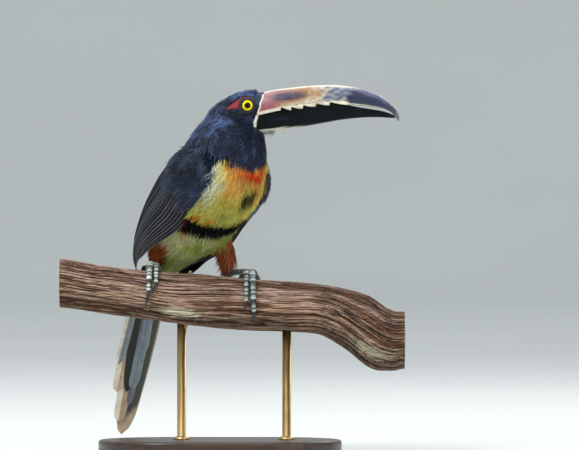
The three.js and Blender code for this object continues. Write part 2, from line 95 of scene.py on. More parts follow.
def along_surface(v, normal):
    """Unit vectors for the part of v that lies in the surface."""
    return unit(v - (v * normal).sum(-1, keepdims=True) * normal)


def grid_normals(points, middle):
    """Unit normals of a grid of points, facing away from its middle."""
    normal = unit(np.cross(np.gradient(points, axis=1), np.gradient(points, axis=0)))
    return normal * np.sign(((points - middle) * normal).sum(-1, keepdims=True))


def circle(count):
    """Angles all the way round."""
    return np.linspace(0, 2 * math.pi, count, endpoint=False)


def smooth(low, high, x):
    """From 0 at low, or beyond it, to 1 at high. It falls if high is the smaller."""
    t = np.clip((np.asarray(x, dtype=float) - low) / (high - low), 0, 1)
    return t * t * (3 - 2 * t)


def between(start, full, fading, end, x):
    """From 0 at start to 1 at full, and from 1 at fading to 0 at end."""
    return smooth(start, full, x) * smooth(end, fading, x)


def peak(middle, width, x):
    """A bell: 1 at the middle."""
    return np.exp(-(((x - middle) / width) ** 2))


def mix(a, b, share):
    share = np.asarray(share)[..., None]
    return np.asarray(a) * (1 - share) + np.asarray(b) * share


def layered(colour, *layers):
    """The colour with layers laid over it in turn, each a colour and its share."""
    for tone, share in layers:
        colour = mix(colour, tone, share)
    return colour


def srgb(r, g, b):
    """A linear colour from the 0 to 255 values that a screen shows."""
    c = np.array([r, g, b]) / 255.0
    return np.where(c <= 0.04045, c / 12.92, ((c + 0.055) / 1.055) ** 2.4)


def run_values(table, u):
    """Smooth values of a table's columns between its rows, at u from 0 to the last row's number."""
    table = np.asarray(table, dtype=float)
    u = np.asarray(u, dtype=float)
    i = np.clip(np.floor(u).astype(int), 0, len(table) - 2)
    t = (u - i)[..., None]
    a, b, c, d = (table[np.clip(i + k, 0, len(table) - 1)] for k in (-1, 0, 1, 2))
    return b + 0.5 * t * (c - a + t * (2 * a - 5 * b + 4 * c - d + t * (3 * (b - c) + d - a)))


WAVES = 5  # that cross in each octave
WAVE_RATE = 2.2  # radians over one scale's length
WAVE_WEIGHT = 1.7  # about how high five crossing waves reach


def waves(p, scale, seed, octaves=4):
    """Smooth pseudo-random values from about -1 to 1 over points, made of crossing sine waves."""
    rng = np.random.default_rng(seed)
    total = np.zeros(p.shape[:-1])
    weight = 0.0
    for octave in range(octaves):
        for _ in range(WAVES):
            direction = unit(rng.normal(size=p.shape[-1]))
            phase = rng.uniform(0, 2 * math.pi)
            total += 0.5**octave * np.sin((p / scale) @ direction * 2.0**octave * WAVE_RATE + phase)
        weight += 0.5**octave * WAVE_WEIGHT
    return total / weight


# ---- Meshes ----
def write_tint(mesh, tint):
    colours = np.concatenate([np.clip(tint, 0, 1), np.ones((len(tint), 1))], axis=1)
    attribute = mesh.attributes.new("tint", "FLOAT_COLOR", "POINT")
    attribute.data.foreach_set("color", colours.astype(np.float32).ravel())


def read(items, key, width, kind=float):
    """What all of a mesh's items hold under a key, with width columns."""
    values = np.empty(len(items) * width, dtype=kind)
    items.foreach_get(key, values)
    return values.reshape(-1, width)


def make_mesh(name, verts, faces, tint=None, uv=None, vane=None):
    """A mesh from millimetres. faces is a list of index arrays, each of triangles or of quads. tint, uv
    (the baking map) and vane (the map of a feather's own millimetres) hold a value per vertex."""
    mesh = bpy.data.meshes.new(name)
    verts = np.asarray(verts, dtype=float)
    mesh.vertices.add(len(verts))
    mesh.vertices.foreach_set("co", (verts * MM).astype(np.float32).ravel())
    loops = np.concatenate([np.asarray(f).ravel() for f in faces]).astype(np.int32)
    sizes = np.concatenate([np.full(len(f), np.shape(f)[1]) for f in faces])
    mesh.loops.add(len(loops))
    mesh.loops.foreach_set("vertex_index", loops)
    mesh.polygons.add(len(sizes))
    starts = np.concatenate([[0], np.cumsum(sizes)[:-1]]).astype(np.int32)
    mesh.polygons.foreach_set("loop_start", starts)
    mesh.update(calc_edges=True)
    mesh.polygons.foreach_set("use_smooth", np.full(len(sizes), True))
    for layer, values in (("OFBake", uv), ("Vane", vane)):
        if values is not None:
            data = mesh.uv_layers.new(name=layer).data
            data.foreach_set("uv", np.asarray(values)[loops].astype(np.float32).ravel())
    if tint is not None:
        write_tint(mesh, tint)
    return mesh


def make_piece(name, mesh, material, nodes=()):
    """A piece on the one body, which may stand in for CAD nodes."""
    piece = bpy.data.objects.new(name, mesh)
    bpy.context.scene.collection.objects.link(piece)
    mesh.materials.clear()
    mesh.materials.append(material)
    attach(piece, "root")
    if nodes:
        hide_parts(*nodes)
    return piece


def add_piece(name, shape, material, nodes=()):
    """shape holds make_mesh's arguments from verts on."""
    make_piece(name, make_mesh(name, *shape), material, nodes)


def grid_faces(rows, columns, closed=False, first=0):
    """Quads over a grid of vertices, whose columns may close into a ring."""
    r = np.arange(rows - 1)[:, None]
    c = np.arange(columns if closed else columns - 1)[None, :]
    n = (c + 1) % columns
    a, b = r * columns + c, r * columns + n
    quads = np.stack([a, b, b + columns, a + columns], axis=-1).reshape(-1, 4)
    return quads + first


def ring_surface(rings, tint=None):
    """Verts and faces of a closed skin through rings of points, with each end drawn to its middle."""
    count, sides = rings.shape[:2]
    verts = np.concatenate([rings.reshape(-1, 3), rings[:1].mean(1), rings[-1:].mean(1)])
    start, end = count * sides, count * sides + 1
    j = np.arange(sides)
    n = (j + 1) % sides
    last = (count - 1) * sides
    caps = np.concatenate(
        [
            np.stack([np.full(sides, start), n, j], axis=1),
            np.stack([np.full(sides, end), last + j, last + n], axis=1),
        ]
    )
    faces = [grid_faces(count, sides, closed=True), caps]
    if tint is None:
        return verts, faces
    tints = np.concatenate([tint.reshape(-1, 3), tint[:1].mean(1), tint[-1:].mean(1)])
    return verts, faces, tints


def tube(centres, radii, sides, reference, tint):
    """A skin round a run of centres. radii has a row for each, and a column per side if it isn't round."""
    centres = np.asarray(centres, dtype=float)
    along = unit(np.gradient(centres, axis=0))
    left = unit(np.cross(np.broadcast_to(reference, along.shape), along))
    top = np.cross(along, left)
    angle = circle(sides)
    radii = np.asarray(radii, dtype=float)
    if radii.ndim == 1:
        radii = radii[:, None]
    rings = (
        centres[:, None]
        + (radii * np.cos(angle))[..., None] * left[:, None]
        + (radii * np.sin(angle))[..., None] * top[:, None]
    )
    return ring_surface(rings, tint)


def join_parts(parts):
    """Several (verts, faces, tints) as one."""
    verts, faces, tints, first = [], [], [], 0
    for v, f, t in parts:
        verts.append(v)
        tints.append(t)
        faces += [g + first for g in f]
        first += len(v)
    return np.concatenate(verts), faces, np.concatenate(tints)


def node_surface(*names):
    """A search tree over CAD nodes, in millimetres."""
    verts, polygons = [], []
    for name in names:
        mesh = NODES[name].data
        first = len(verts)
        verts += [v.co / MM for v in mesh.vertices]
        polygons += [[first + i for i in p.vertices] for p in mesh.polygons]
    return BVHTree.FromPolygons(verts, polygons)


# ---- Materials ----
NOISE_LOW, NOISE_HIGH = 0.3, 0.7  # most of a noise's values lie between these


class Shader:
    """A node material, with short names for the nodes that these use."""

    def __init__(self, name):
        self.material = bpy.data.materials.new(name)
        self.material.use_nodes = True
        self.tree = self.material.node_tree
        self.bsdf = self.tree.nodes["Principled BSDF"]

    def link(self, source, target):
        self.tree.links.new(source, target)

    def node(self, kind, **inputs):
        node = self.tree.nodes.new(kind)
        for key, value in inputs.items():
            key = key.replace("_", " ")
            if isinstance(value, bpy.types.NodeSocket):
                self.link(value, node.inputs[key])
            else:
                node.inputs[key].default_value = value
        return node

    def set(self, **inputs):
        for key, value in inputs.items():
            socket = self.bsdf.inputs[key.replace("_", " ")]
            if isinstance(value, bpy.types.NodeSocket):
                self.link(value, socket)
            else:
                socket.default_value = value
        return self

    def tint(self):
        node = self.tree.nodes.new("ShaderNodeAttribute")
        node.attribute_name = "tint"
        return node.outputs["Color"]

    def place(self, stretch=(1, 1, 1)):
        """Object coordinates in millimetres, stretched."""
        coords = self.tree.nodes.new("ShaderNodeTexCoord").outputs["Object"]
        node = self.node("ShaderNodeMapping", Vector=coords)
        node.inputs["Scale"].default_value = [1000 * s for s in stretch]
        return node.outputs["Vector"]

    def noise(self, vector, scale, detail, roughness=0.55):
        inputs = dict(Vector=vector, Scale=scale, Detail=detail, Roughness=roughness)
        return self.node("ShaderNodeTexNoise", **inputs).outputs["Fac"]

    def math(self, operation, *values):
        node = self.tree.nodes.new("ShaderNodeMath")
        node.operation = operation
        for i, value in enumerate(values):
            if isinstance(value, bpy.types.NodeSocket):
                self.link(value, node.inputs[i])
            else:
                node.inputs[i].default_value = value
        return node.outputs[0]

    def remap(self, value, to_low, to_high, low=NOISE_LOW, high=NOISE_HIGH):
        """The value, moved from the range from low to high into that from to_low to to_high."""
        node = self.node("ShaderNodeMapRange", Value=value)
        for key, number in (("From Min", low), ("From Max", high), ("To Min", to_low), ("To Max", to_high)):
            node.inputs[key].default_value = number
        return node.outputs["Result"]

    def mix(self, factor, a, b, blend="MIX"):
        node = self.tree.nodes.new("ShaderNodeMix")
        node.data_type = "RGBA"
        node.blend_type = blend
        for index, value in ((0, factor), (6, a), (7, b)):
            if isinstance(value, bpy.types.NodeSocket):
                self.link(value, node.inputs[index])
            elif index == 0:
                node.inputs[0].default_value = value
            else:
                node.inputs[index].default_value = (*value, 1)
        return node.outputs[2]

    def shade(self, colour, value, dark, light, low=NOISE_LOW, high=NOISE_HIGH):
        """The colour multiplied by a grey that value steers from dark to light."""
        grey = self.remap(value, dark, light, low, high)
        node = self.node("ShaderNodeCombineColor")
        for key in ("Red", "Green", "Blue"):
            self.link(grey, node.inputs[key])
        return self.mix(1.0, colour, node.outputs[0], "MULTIPLY")

    def bump(self, height, strength, distance):
        node = self.node("ShaderNodeBump", Height=height, Strength=strength, Distance=distance * MM)
        self.link(node.outputs["Normal"], self.bsdf.inputs["Normal"])
        return self


def plumage_material(name, roughness, specular):
    """Feathers in tufts: the tint of each, with fine streaks and patches."""
    s = Shader(name)
    tint = s.tint()
    fine = s.noise(s.place(), 0.9, 3)
    broad = s.noise(s.place(), 0.11, 3)
    colour = s.shade(tint, fine, 0.82, 1.16)
    colour = s.shade(colour, broad, 0.88, 1.1)
    s.set(Base_Color=colour, Roughness=s.remap(fine, roughness - 0.08, roughness + 0.12))
    s.set(Specular_IOR_Level=specular)
    return s.bump(fine, 0.25, 0.2).material


def vane_material(name, roughness, specular=0.4, barb=1.15, sheen=0.0):
    """A feather with a shaft: barbs run out from it at a slant, barb mm apart. Its Vane map is in
    millimetres from the shaft's root."""
    s = Shader(name)
    tint = s.tint()
    uv = s.tree.nodes.new("ShaderNodeUVMap")
    uv.uv_map = "Vane"
    split = s.node("ShaderNodeSeparateXYZ", Vector=uv.outputs["UV"])
    across = s.math("ABSOLUTE", split.outputs["X"])
    slanted = s.math("SUBTRACT", split.outputs["Y"], s.math("MULTIPLY", across, 1.5))
    wobble = s.noise(s.place(), 0.5, 2)
    phase = s.math("ADD", s.math("MULTIPLY", slanted, 2 * math.pi / barb), s.math("MULTIPLY", wobble, 5.0))
    barbs = s.math("SINE", phase)
    broad = s.noise(s.place(), 0.16, 4)
    colour = s.shade(tint, barbs, 0.86, 1.12, -1.0, 1.0)
    colour = s.shade(colour, broad, 0.78, 1.2)
    s.set(Base_Color=colour, Roughness=s.remap(broad, roughness - 0.08, roughness + 0.1))
    s.set(Specular_IOR_Level=specular, Sheen_Weight=sheen, Sheen_Roughness=0.4)
    return s.bump(barbs, 0.35, 0.12).material


def skin_material():
    """The skin under the coat, bare round the eyes, finely pebbled."""
    s = Shader("skin")
    tint = s.tint()
    pebbles = s.node("ShaderNodeTexVoronoi", Vector=s.place(), Scale=1.5).outputs["Distance"]
    patches = s.noise(s.place(), 0.25, 4)
    colour = s.shade(tint, pebbles, 0.75, 1.15, 0.0, 0.8)
    colour = s.shade(colour, patches, 0.85, 1.15)
    s.set(Base_Color=colour, Roughness=s.remap(patches, 0.5, 0.68), Specular_IOR_Level=0.3)
    return s.bump(pebbles, 0.4, 0.25).material


def horn_material(name, roughness, streak=0.12, coat=0.25, specular=0.45):
    """Bill and claw horn: the tint with fine streaks along it, small chips and a soft polish."""
    s = Shader(name)
    tint = s.tint()
    streaks = s.noise(s.place((0.09, 0.6, 0.8)), 0.9, 5, 0.6)
    chips = s.noise(s.place(), 0.35, 6, 0.7)
    colour = s.shade(tint, streaks, 1 - streak, 1 + streak, 0.25, 0.75)
    colour = s.shade(colour, chips, 0.8, 1.06, 0.35, 0.65)
    s.set(Base_Color=colour, Roughness=s.remap(chips, roughness - 0.07, roughness + 0.12))
    s.set(Coat_Weight=coat, Coat_Roughness=0.22, Specular_IOR_Level=specular)
    return s.bump(streaks, 0.3, 0.25).material


def scale_material():
    """The scutes of the feet: the tint, dusty in patches."""
    s = Shader("scutes")
    tint = s.tint()
    cells = s.node("ShaderNodeTexVoronoi", Vector=s.place(), Scale=1.1).outputs["Distance"]
    dust = s.noise(s.place(), 0.4, 5)
    colour = s.shade(tint, cells, 0.82, 1.12, 0.05, 0.6)
    colour = s.shade(colour, dust, 0.78, 1.2)
    s.set(Base_Color=colour, Roughness=s.remap(dust, 0.45, 0.65), Specular_IOR_Level=0.4)
    return s.bump(cells, 0.35, 0.2).material


def eye_material():
    """A wet eye, with fine spokes in the iris."""
    s = Shader("eye")
    tint = s.tint()
    spokes = s.noise(s.place(), 2.2, 3)
    colour = s.shade(tint, spokes, 0.86, 1.08)
    s.set(Base_Color=colour, Roughness=s.remap(spokes, 0.04, 0.08))
    s.set(Coat_Weight=0.22, Coat_Roughness=0.02, Specular_IOR_Level=0.04)
    return s.material


def branch_material():
    """Weathered wood: grain along the branch, darker in its cracks, with pinkish-grey crests."""
    s = Shader("branch")
    tint = s.tint()
    grain = s.noise(s.place((0.028, 1.3, 1.3)), 0.75, 8, 0.68)
    fibre = s.noise(s.place((0.07, 3.6, 3.6)), 0.8, 5, 0.6)
    split = s.noise(s.place((0.02, 0.62, 0.62)), 1.0, 2)
    blotch = s.noise(s.place((0.35, 1, 1)), 0.06, 4)
    colour = s.shade(tint, grain, 0.4, 1.36, 0.36, 0.62)
    colour = s.shade(colour, fibre, 0.62, 1.3, 0.32, 0.66)
    off_split = s.math("ABSOLUTE", s.math("SUBTRACT", split, 0.5))
    colour = s.shade(colour, off_split, 0.22, 1.0, 0.0, 0.022)
    colour = s.shade(colour, blotch, 0.82, 1.15, 0.35, 0.65)
    s.set(Base_Color=colour, Roughness=s.remap(grain, 0.92, 0.7), Specular_IOR_Level=0.2)
    height = s.math("ADD", grain, s.math("MULTIPLY", fibre, 0.35))
    return s.bump(height, 0.9, 0.9).material


def saw_cut_material():
    """Sawn wood, under the rings that its tint holds."""
    s = Shader("saw_cut")
    tint = s.tint()
    rays = s.noise(s.place((0.3, 1.2, 1.2)), 0.7, 5)
    colour = s.shade(tint, rays, 0.72, 1.15)
    s.set(Base_Color=colour, Roughness=s.remap(rays, 0.7, 0.85), Specular_IOR_Level=0.2)
    return s.bump(rays, 0.5, 0.3).material


def walnut_material():
    """Dark polished wood, with its grain along the base."""
    s = Shader("walnut")
    bend = s.noise(s.place((0.008, 0.05, 0.05)), 1.0, 2)
    grain = s.noise(s.place((0.012, 0.22, 0.22)), 1.4, 8, 0.65)
    pores = s.noise(s.place((0.07, 1.6, 1.6)), 1.2, 3)
    colour = s.mix(s.remap(grain, 0.0, 1.0, 0.32, 0.68), (0.022, 0.011, 0.007), (0.075, 0.04, 0.024))
    colour = s.shade(colour, pores, 0.6, 1.08, 0.35, 0.6)
    colour = s.shade(colour, bend, 0.85, 1.15)
    s.set(Base_Color=colour, Roughness=s.remap(pores, 0.45, 0.3), Specular_IOR_Level=0.45)
    s.set(Coat_Weight=0.2, Coat_Roughness=0.25)
    return s.bump(pores, 0.25, 0.2).material


def brass_material():
    """Brass brushed along the rods, a little stained."""
    s = Shader("brass")
    brushed = s.noise(s.place((1.2, 1.2, 0.03)), 1.6, 5)
    stains = s.noise(s.place(), 0.05, 4)
    colour = s.mix(s.remap(stains, 0.0, 1.0, 0.35, 0.65), (0.52, 0.36, 0.15), (0.66, 0.48, 0.22))
    colour = s.shade(colour, brushed, 0.88, 1.08)
    s.set(Base_Color=colour, Metallic=1.0, Roughness=s.remap(brushed, 0.28, 0.42))
    return s.bump(brushed, 0.15, 0.1).material


# ---- Skin: one surface in place of the trunk, neck, head and thighs ----
FLESH = ("trunk", "neck", "head", "thigh_left", "thigh_right")
SKIN_VOXEL = 1.3
COAT = {"body": 2.3, "head": 1.4, "face": 0.35}  # how deep the coat lies over the skin
VENT_DEPTH = 2.6  # and how much deeper under the tail end of the belly

HOOD_EDGE = 61.5  # along the trunk, of the dark hood's lower edge in front
HOOD_EDGE_SIDE = 58.0  # and at the sides, from where it drops away over the back
HOOD_BACK_SLOPE = 0.75
BAND_HALF_WIDTH = 7.6
BAND_MIDDLE = (-0.5, 0.12, 0.0036)  # along the trunk: a curve in the distance from BAND_SIDE
BAND_SIDE = -15.0  # left of the trunk's middle
SPOT = (37.6, 2.8)  # along the trunk and left of its middle
SPOT_SIZE = (7.6, 6.4)

DARK_HOOD = srgb(25, 38, 62)
# Painted sheen: a light blue mixed into the hood's colour in patches.
HOOD_SHEEN = srgb(92, 116, 166)
THROAT = srgb(32, 45, 70)
MANTLE = srgb(24, 31, 36)
COLLAR = srgb(92, 36, 20)
RUMP_RED = srgb(160, 20, 12)
YELLOW = srgb(240, 222, 106)
YELLOW_LOW = srgb(206, 204, 102)
GOLD = srgb(222, 160, 40)
RIM_BROWN = GOLD * np.array([0.8, 0.55, 0.4])
ORANGE = srgb(248, 178, 98)
DEEP_ORANGE = ORANGE * np.array([1.0, 0.72, 0.6])
RED = srgb(246, 46, 16)
CREAM = srgb(226, 230, 206)
BELLY = srgb(172, 182, 92)
BELLY_PALE = srgb(206, 208, 150)
BLACK = srgb(6, 10, 13)
SPOT_DARK = srgb(34, 36, 22)
CHESTNUT = srgb(194, 100, 52)
CHESTNUT_DARK = srgb(136, 74, 44)
CHESTNUT_PALE = srgb(206, 132, 92)
FACE_SKIN = srgb(40, 36, 46)
FACE_RED = srgb(128, 34, 42)
SHOULDER_DARK = srgb(24, 32, 46)
# Where the bib gives way to the dark shoulder: along the trunk, and degrees from the belly.
SHOULDER_LINE = np.array([[40, 68], [52, 62], [62, 56], [70, 52]])
WEDGE_TIP = -29.5  # ahead of the bill's root, of the red wedge behind the eye


def band_middle(left):
    a, b, c = BAND_MIDDLE
    x = left - BAND_SIDE
    return a + b * x + c * x * x


def hood_edge(belly):
    """Along the trunk, where the hood ends: lowest over the back."""
    front = HOOD_EDGE_SIDE + (HOOD_EDGE - HOOD_EDGE_SIDE) * smooth(0, 12, belly)
    return front + HOOD_BACK_SLOPE * np.minimum(belly, 0)


def wedge_of(x, z):
    """How far into the bare red wedge behind the eye a point of the head lies, from 0 to 1."""
    top = -0.5 + (x - WEDGE_TIP) * 0.66
    low = -1.2 + (x - WEDGE_TIP) * 0.16
    inside = smooth(0, 0.8, top - z) * smooth(0, 0.8, z - low)
    return inside * between(-30, -27.5, -14, -9, x)


def bare_share(p):
    """1 on the bare skin of the face, 0 on feathers."""
    x, y, z = head_coords(p)
    oval = ((x - EYE[0] + 0.4) / 8.8) ** 2 + ((z - EYE[2] - 0.5) / 7.2) ** 2
    bare = np.clip(smooth(1.05, 0.8, oval) + wedge_of(x, z), 0, 1)
    return bare * smooth(5, 8, np.abs(y)) * smooth(-31, -29, x)


def face_colour(p):
    """The bare skin: dark, and red in the wedge and over the eye."""
    x, _, z = head_coords(p)
    colour = FACE_SKIN * (1 + 0.25 * waves(p, 4.0, 5)[..., None])
    above = smooth(7.6, 9.2, z - 0.1 * x) * smooth(-14, -10, x)
    red = np.maximum(wedge_of(x, z) * (0.8 + 0.5 * waves(p, 3.0, 6)), 0.8 * above)
    return mix(colour, FACE_RED, np.clip(red, 0, 1))


def hood_colour(p):
    """The hood: blue-black under a painted blue sheen in patches, most over the nape and least on the
    cheeks; paler on the throat.
    """
    _, _, belly = body_coords(p)
    x, _, z = head_coords(p)
    cheek = smooth(-40, -22, x) * smooth(12, 4, z)
    patches = 0.4 * waves(p, 9.0, 1) + 0.35 * waves(p, 2.6, 12)
    painted_sheen = 0.12 + patches + 0.4 * smooth(8, -12, belly) - 0.35 * cheek
    return layered(DARK_HOOD, (HOOD_SHEEN, np.clip(painted_sheen, 0, 1)), (THROAT, 0.65 * smooth(14, 24, belly)))


def back_colour(p):
    """The back: green-black, with a chestnut collar under the hood and a red rump."""
    s, _, belly = body_coords(p)
    n = waves(p, 9.0, 3)
    below = hood_edge(belly) - s
    return layered(
        MANTLE,
        (COLLAR, smooth(7.5, 4.5, below + n) * smooth(-6, -14, belly)),
        (RUMP_RED, smooth(-24, -31, s + 2 * n)),
        (MANTLE, smooth(-46, -52, s)),
    )


def front_colour(p):
    """The breast and belly: yellow, with an orange and red bib, a dark spot, and a red and black band."""
    s, left, belly = body_coords(p)
    n = waves(p, 9.0, 1)
    fleck = waves(p, 3.0, 2)
    gold = smooth(0.1, 0.7, fleck + 0.5 * n) * between(4, 10, 45, 55, s)
    gold = gold * (0.35 + 0.65 * smooth(-6, -20, left))
    orange = smooth(30, 50, s + 6 * n + 3 * fleck) * smooth(24, 14, np.abs(left + 1) + 3 * fleck)
    deep_orange = smooth(48, 55, s + 1.5 * fleck) * smooth(23, 16, np.abs(left - 1) + 2 * fleck)
    red = peak(55.6, 2.4, s + 0.16 * left) * peak(3.0, 9.0, left)
    right_flank = smooth(19.5, 27, -left + 2 * n) * smooth(14, 38, s)
    left_flank = smooth(24, 30, left + 2 * n) * smooth(8, 26, s)
    spot = peak(SPOT[0], SPOT_SIZE[0], s) * peak(SPOT[1], SPOT_SIZE[1], left)
    shoulder = np.degrees(np.arctan2(np.abs(left), belly)) - np.interp(s, *SHOULDER_LINE.T)
    middle = band_middle(left)
    across = (s - middle) / BAND_HALF_WIDTH
    rim = peak(1.3, 0.45, across) + peak(-1.3, 0.3, across)
    rim = rim * smooth(8, 20, -left) * smooth(-0.3, 0.5, fleck)
    belly_tone = mix(BELLY, BELLY_PALE, smooth(-0.7, 0.2, n) * smooth(10, -10, left))
    band = smooth(1.08, 0.9, np.abs(across) + 0.1 * fleck)
    return layered(
        YELLOW,
        (YELLOW_LOW, smooth(46, 18, s + 5 * n)),
        (GOLD, 0.6 * gold),
        (ORANGE, 0.7 * orange),
        (DEEP_ORANGE, 0.75 * deep_orange),
        (RED, np.clip(1.5 * red + 0.3 * fleck * red, 0, 1)),
        (CREAM, 0.9 * right_flank),
        (CREAM, 0.7 * left_flank),
        (SPOT_DARK, np.clip(1.75 * spot * (1 + 0.35 * fleck), 0, 0.93)),
        (SHOULDER_DARK, smooth(-2, 2, shoulder + 2 * fleck) * smooth(42, 48, s)),
        (belly_tone, smooth(middle - 3, middle - 7, s)),
        (RIM_BROWN, np.clip(rim, 0, 0.85)),
        (BLACK, band),
        (RED * 0.35, 0.8 * band * smooth(26, 31, -left + 1.5 * fleck)),
    )


def thigh_colour(p):
    """Chestnut, paler in patches on the left."""
    pale = smooth(0.0, 0.5, waves(p, 5.0, 17) + 0.3) * (body_coords(p)[1] > 0)
    dark = np.clip(0.35 + 0.6 * waves(p, 6.0, 8), 0, 1)
    return layered(CHESTNUT, (CHESTNUT_DARK, dark), (CHESTNUT_PALE, 0.55 * pale))


def frontness(p):
    """How far points lie from the line between the back and the front, towards the belly."""
    _, left, belly = body_coords(p)
    return belly + 0.12 * np.abs(left)


def plumage_colour(p, thigh):
    """The plumage's colour at points of the skin, as on the coat over them."""
    s, _, belly = body_coords(p)
    return layered(
        front_colour(p),
        (back_colour(p), smooth(3, -5, frontness(p))),
        (hood_colour(p), smooth(-1.2, 1.2, s - hood_edge(belly))),
        (thigh_colour(p), thigh),
    )


THIGHS = {side: node_surface("thigh_" + side) for side in ("left", "right")}
FLANK_EDGE = (15.0, 0.38, -43.0)  # right of the middle, and how that grows up the trunk from the last
THIGH_REACH = (2.4, 0.4)  # how far outside a thigh its chestnut ends, and starts to
THIGH_SEARCH = 6.0
RUN_REACH = 17.0  # how far each stretch of the body's run steers the plumage
FLOW_WAVE = 0.35  # how much its way wavers


def thigh_share(p):
    """1 on the thighs and on the right flank next to one, 0 away from them."""
    share = np.zeros(len(p))
    for tree in THIGHS.values():
        for i, q in enumerate(p):
            place, normal, _, distance = tree.find_nearest(Vector(q), THIGH_SEARCH)
            if place is None:
                continue
            out = distance if (Vector(q) - place).dot(normal) > 0 else -distance
            share[i] = max(share[i], smooth(*THIGH_REACH, out))
    s, left, belly = body_coords(p)
    # The right flank's chestnut ends at a slanting line, and the left's just outside the thigh.
    line = smooth(-1.5, 1.5, -left - FLANK_EDGE[0] - FLANK_EDGE[1] * (s - FLANK_EDGE[2]))
    free = smooth(152, 147, p[:, 2])  # below the flank
    flank = line * (1 - smooth(-26, -18, s)) * smooth(-8, 0, belly)
    return np.where(left < 0, np.maximum(share * np.maximum(free, line), flank), share)


def flow_of(p, normal):
    """The way the plumage lies: tailwards along the body's run, and outwards over the wings' edges."""
    middle = (RUN[1:] + RUN[:-1]) / 2
    way = unit(RUN[1:] - RUN[:-1])
    near = peak(0, RUN_REACH, np.linalg.norm(p[:, None] - middle[None], axis=2)) + 1e-9
    flow = unit((near[..., None] * way[None]).sum(1))
    s, left, belly = body_coords(p)
    outward = np.clip(left / 30, -1, 0.35) * smooth(0, 12, belly) * between(2, 34, 62, 70, s)
    flow = flow + (1.5 * outward * np.abs(outward) ** 2 + 0.2 * outward)[:, None] * BODY_LEFT
    flow = flow + FLOW_WAVE * waves(p, 14.0, 9)[:, None] * unit(np.cross(normal, flow))
    return along_surface(flow, normal)


def build_skin():
    """Remeshes the CAD's soft parts into one, rounds it, and draws it in by the coat's depth."""
    verts, polygons = [], []
    for name in FLESH:
        mesh = NODES[name].data
        first = len(verts)
        verts += [tuple(v.co) for v in mesh.vertices]
        polygons += [[first + i for i in p.vertices] for p in mesh.polygons]
    rough = bpy.data.meshes.new("flesh")
    rough.from_pydata(verts, [], polygons)
    holder = bpy.data.objects.new("flesh", rough)
    bpy.context.scene.collection.objects.link(holder)
    remesh = holder.modifiers.new("Remesh", "REMESH")
    remesh.mode = "VOXEL"
    remesh.voxel_size = SKIN_VOXEL * MM
    soften = holder.modifiers.new("Smooth", "SMOOTH")
    soften.factor = 0.5
    soften.iterations = 18
    bpy.context.view_layer.update()
    shaped = holder.evaluated_get(bpy.context.evaluated_depsgraph_get())
    mesh = bpy.data.meshes.new_from_object(shaped)
    bpy.data.objects.remove(holder)
    p = read(mesh.vertices, "co", 3) / MM
    normal = unit(read(mesh.vertices, "normal", 3))
    x, _, z = head_coords(p)
    s, left, belly = body_coords(p)
    bare = bare_share(p)
    depth = COAT["body"] + (COAT["head"] - COAT["body"]) * smooth(-52, -34, x) * smooth(-30, -18, z)
    depth = depth + VENT_DEPTH * smooth(-22, -42, s) * smooth(-12, 4, left) * smooth(0, 8, belly)
    depth = depth + (COAT["face"] - depth) * np.maximum(bare, smooth(-3, 0, x) * smooth(-20, -17, z))
    p = p - normal * depth[:, None]
    mesh.vertices.foreach_set("co", (p * MM).astype(np.float32).ravel())
    mesh.update()
    # Under the coat the skin takes the plumage's colour darkened to 0.6: painted shade deep in the coat
    # between the tufts.
    write_tint(mesh, mix(plumage_colour(p, thigh_share(p)) * 0.6, face_colour(p), bare_share(p)))
    mesh.polygons.foreach_set("use_smooth", np.full(len(mesh.polygons), True))
    skin = make_piece("skin", mesh, skin_material(), FLESH)
    bpy.context.view_layer.objects.active = skin
    bpy.ops.object.select_all(action="DESELECT")
    skin.select_set(True)
    mesh.uv_layers.new(name="OFBake")
    bpy.ops.object.mode_set(mode="EDIT")
    bpy.ops.mesh.select_all(action="SELECT")
    bpy.ops.uv.smart_project(angle_limit=math.radians(66), island_margin=0.004)
    bpy.ops.object.mode_set(mode="OBJECT")
    return skin


SKIN = build_skin()


def skin_triangles():
    """The skin's triangles: corners, normals and map corners."""
    mesh = SKIN.data
    mesh.calc_loop_triangles()
    index = read(mesh.loop_triangles, "vertices", 3, np.int32)
    loops = read(mesh.loop_triangles, "loops", 3, np.int32)
    p, normal = read(mesh.vertices, "co", 3) / MM, read(mesh.vertices, "normal", 3)
    return p[index], normal[index], read(mesh.uv_layers["OFBake"].data, "uv", 2)[loops]


TRI_P, TRI_N, TRI_UV = skin_triangles()
TRI_AREA = np.linalg.norm(np.cross(TRI_P[:, 1] - TRI_P[:, 0], TRI_P[:, 2] - TRI_P[:, 0]), axis=1) / 2
SKIN_TREE = BVHTree.FromPolygons(
    [Vector(c) for c in TRI_P.reshape(-1, 3)],
    [(3 * i, 3 * i + 1, 3 * i + 2) for i in range(len(TRI_P))],
)


def skin_place(p):
    """The map place of the skin nearest to a point."""
    _, _, index, _ = SKIN_TREE.find_nearest(Vector(p))
    return TRI_UV[index].mean(0)


SCATTER_TRIES = 9  # points tried for each that the smallest spacing has room for
SPACING = {"body": 2.2, "head": 1.7, "face": 1.2}


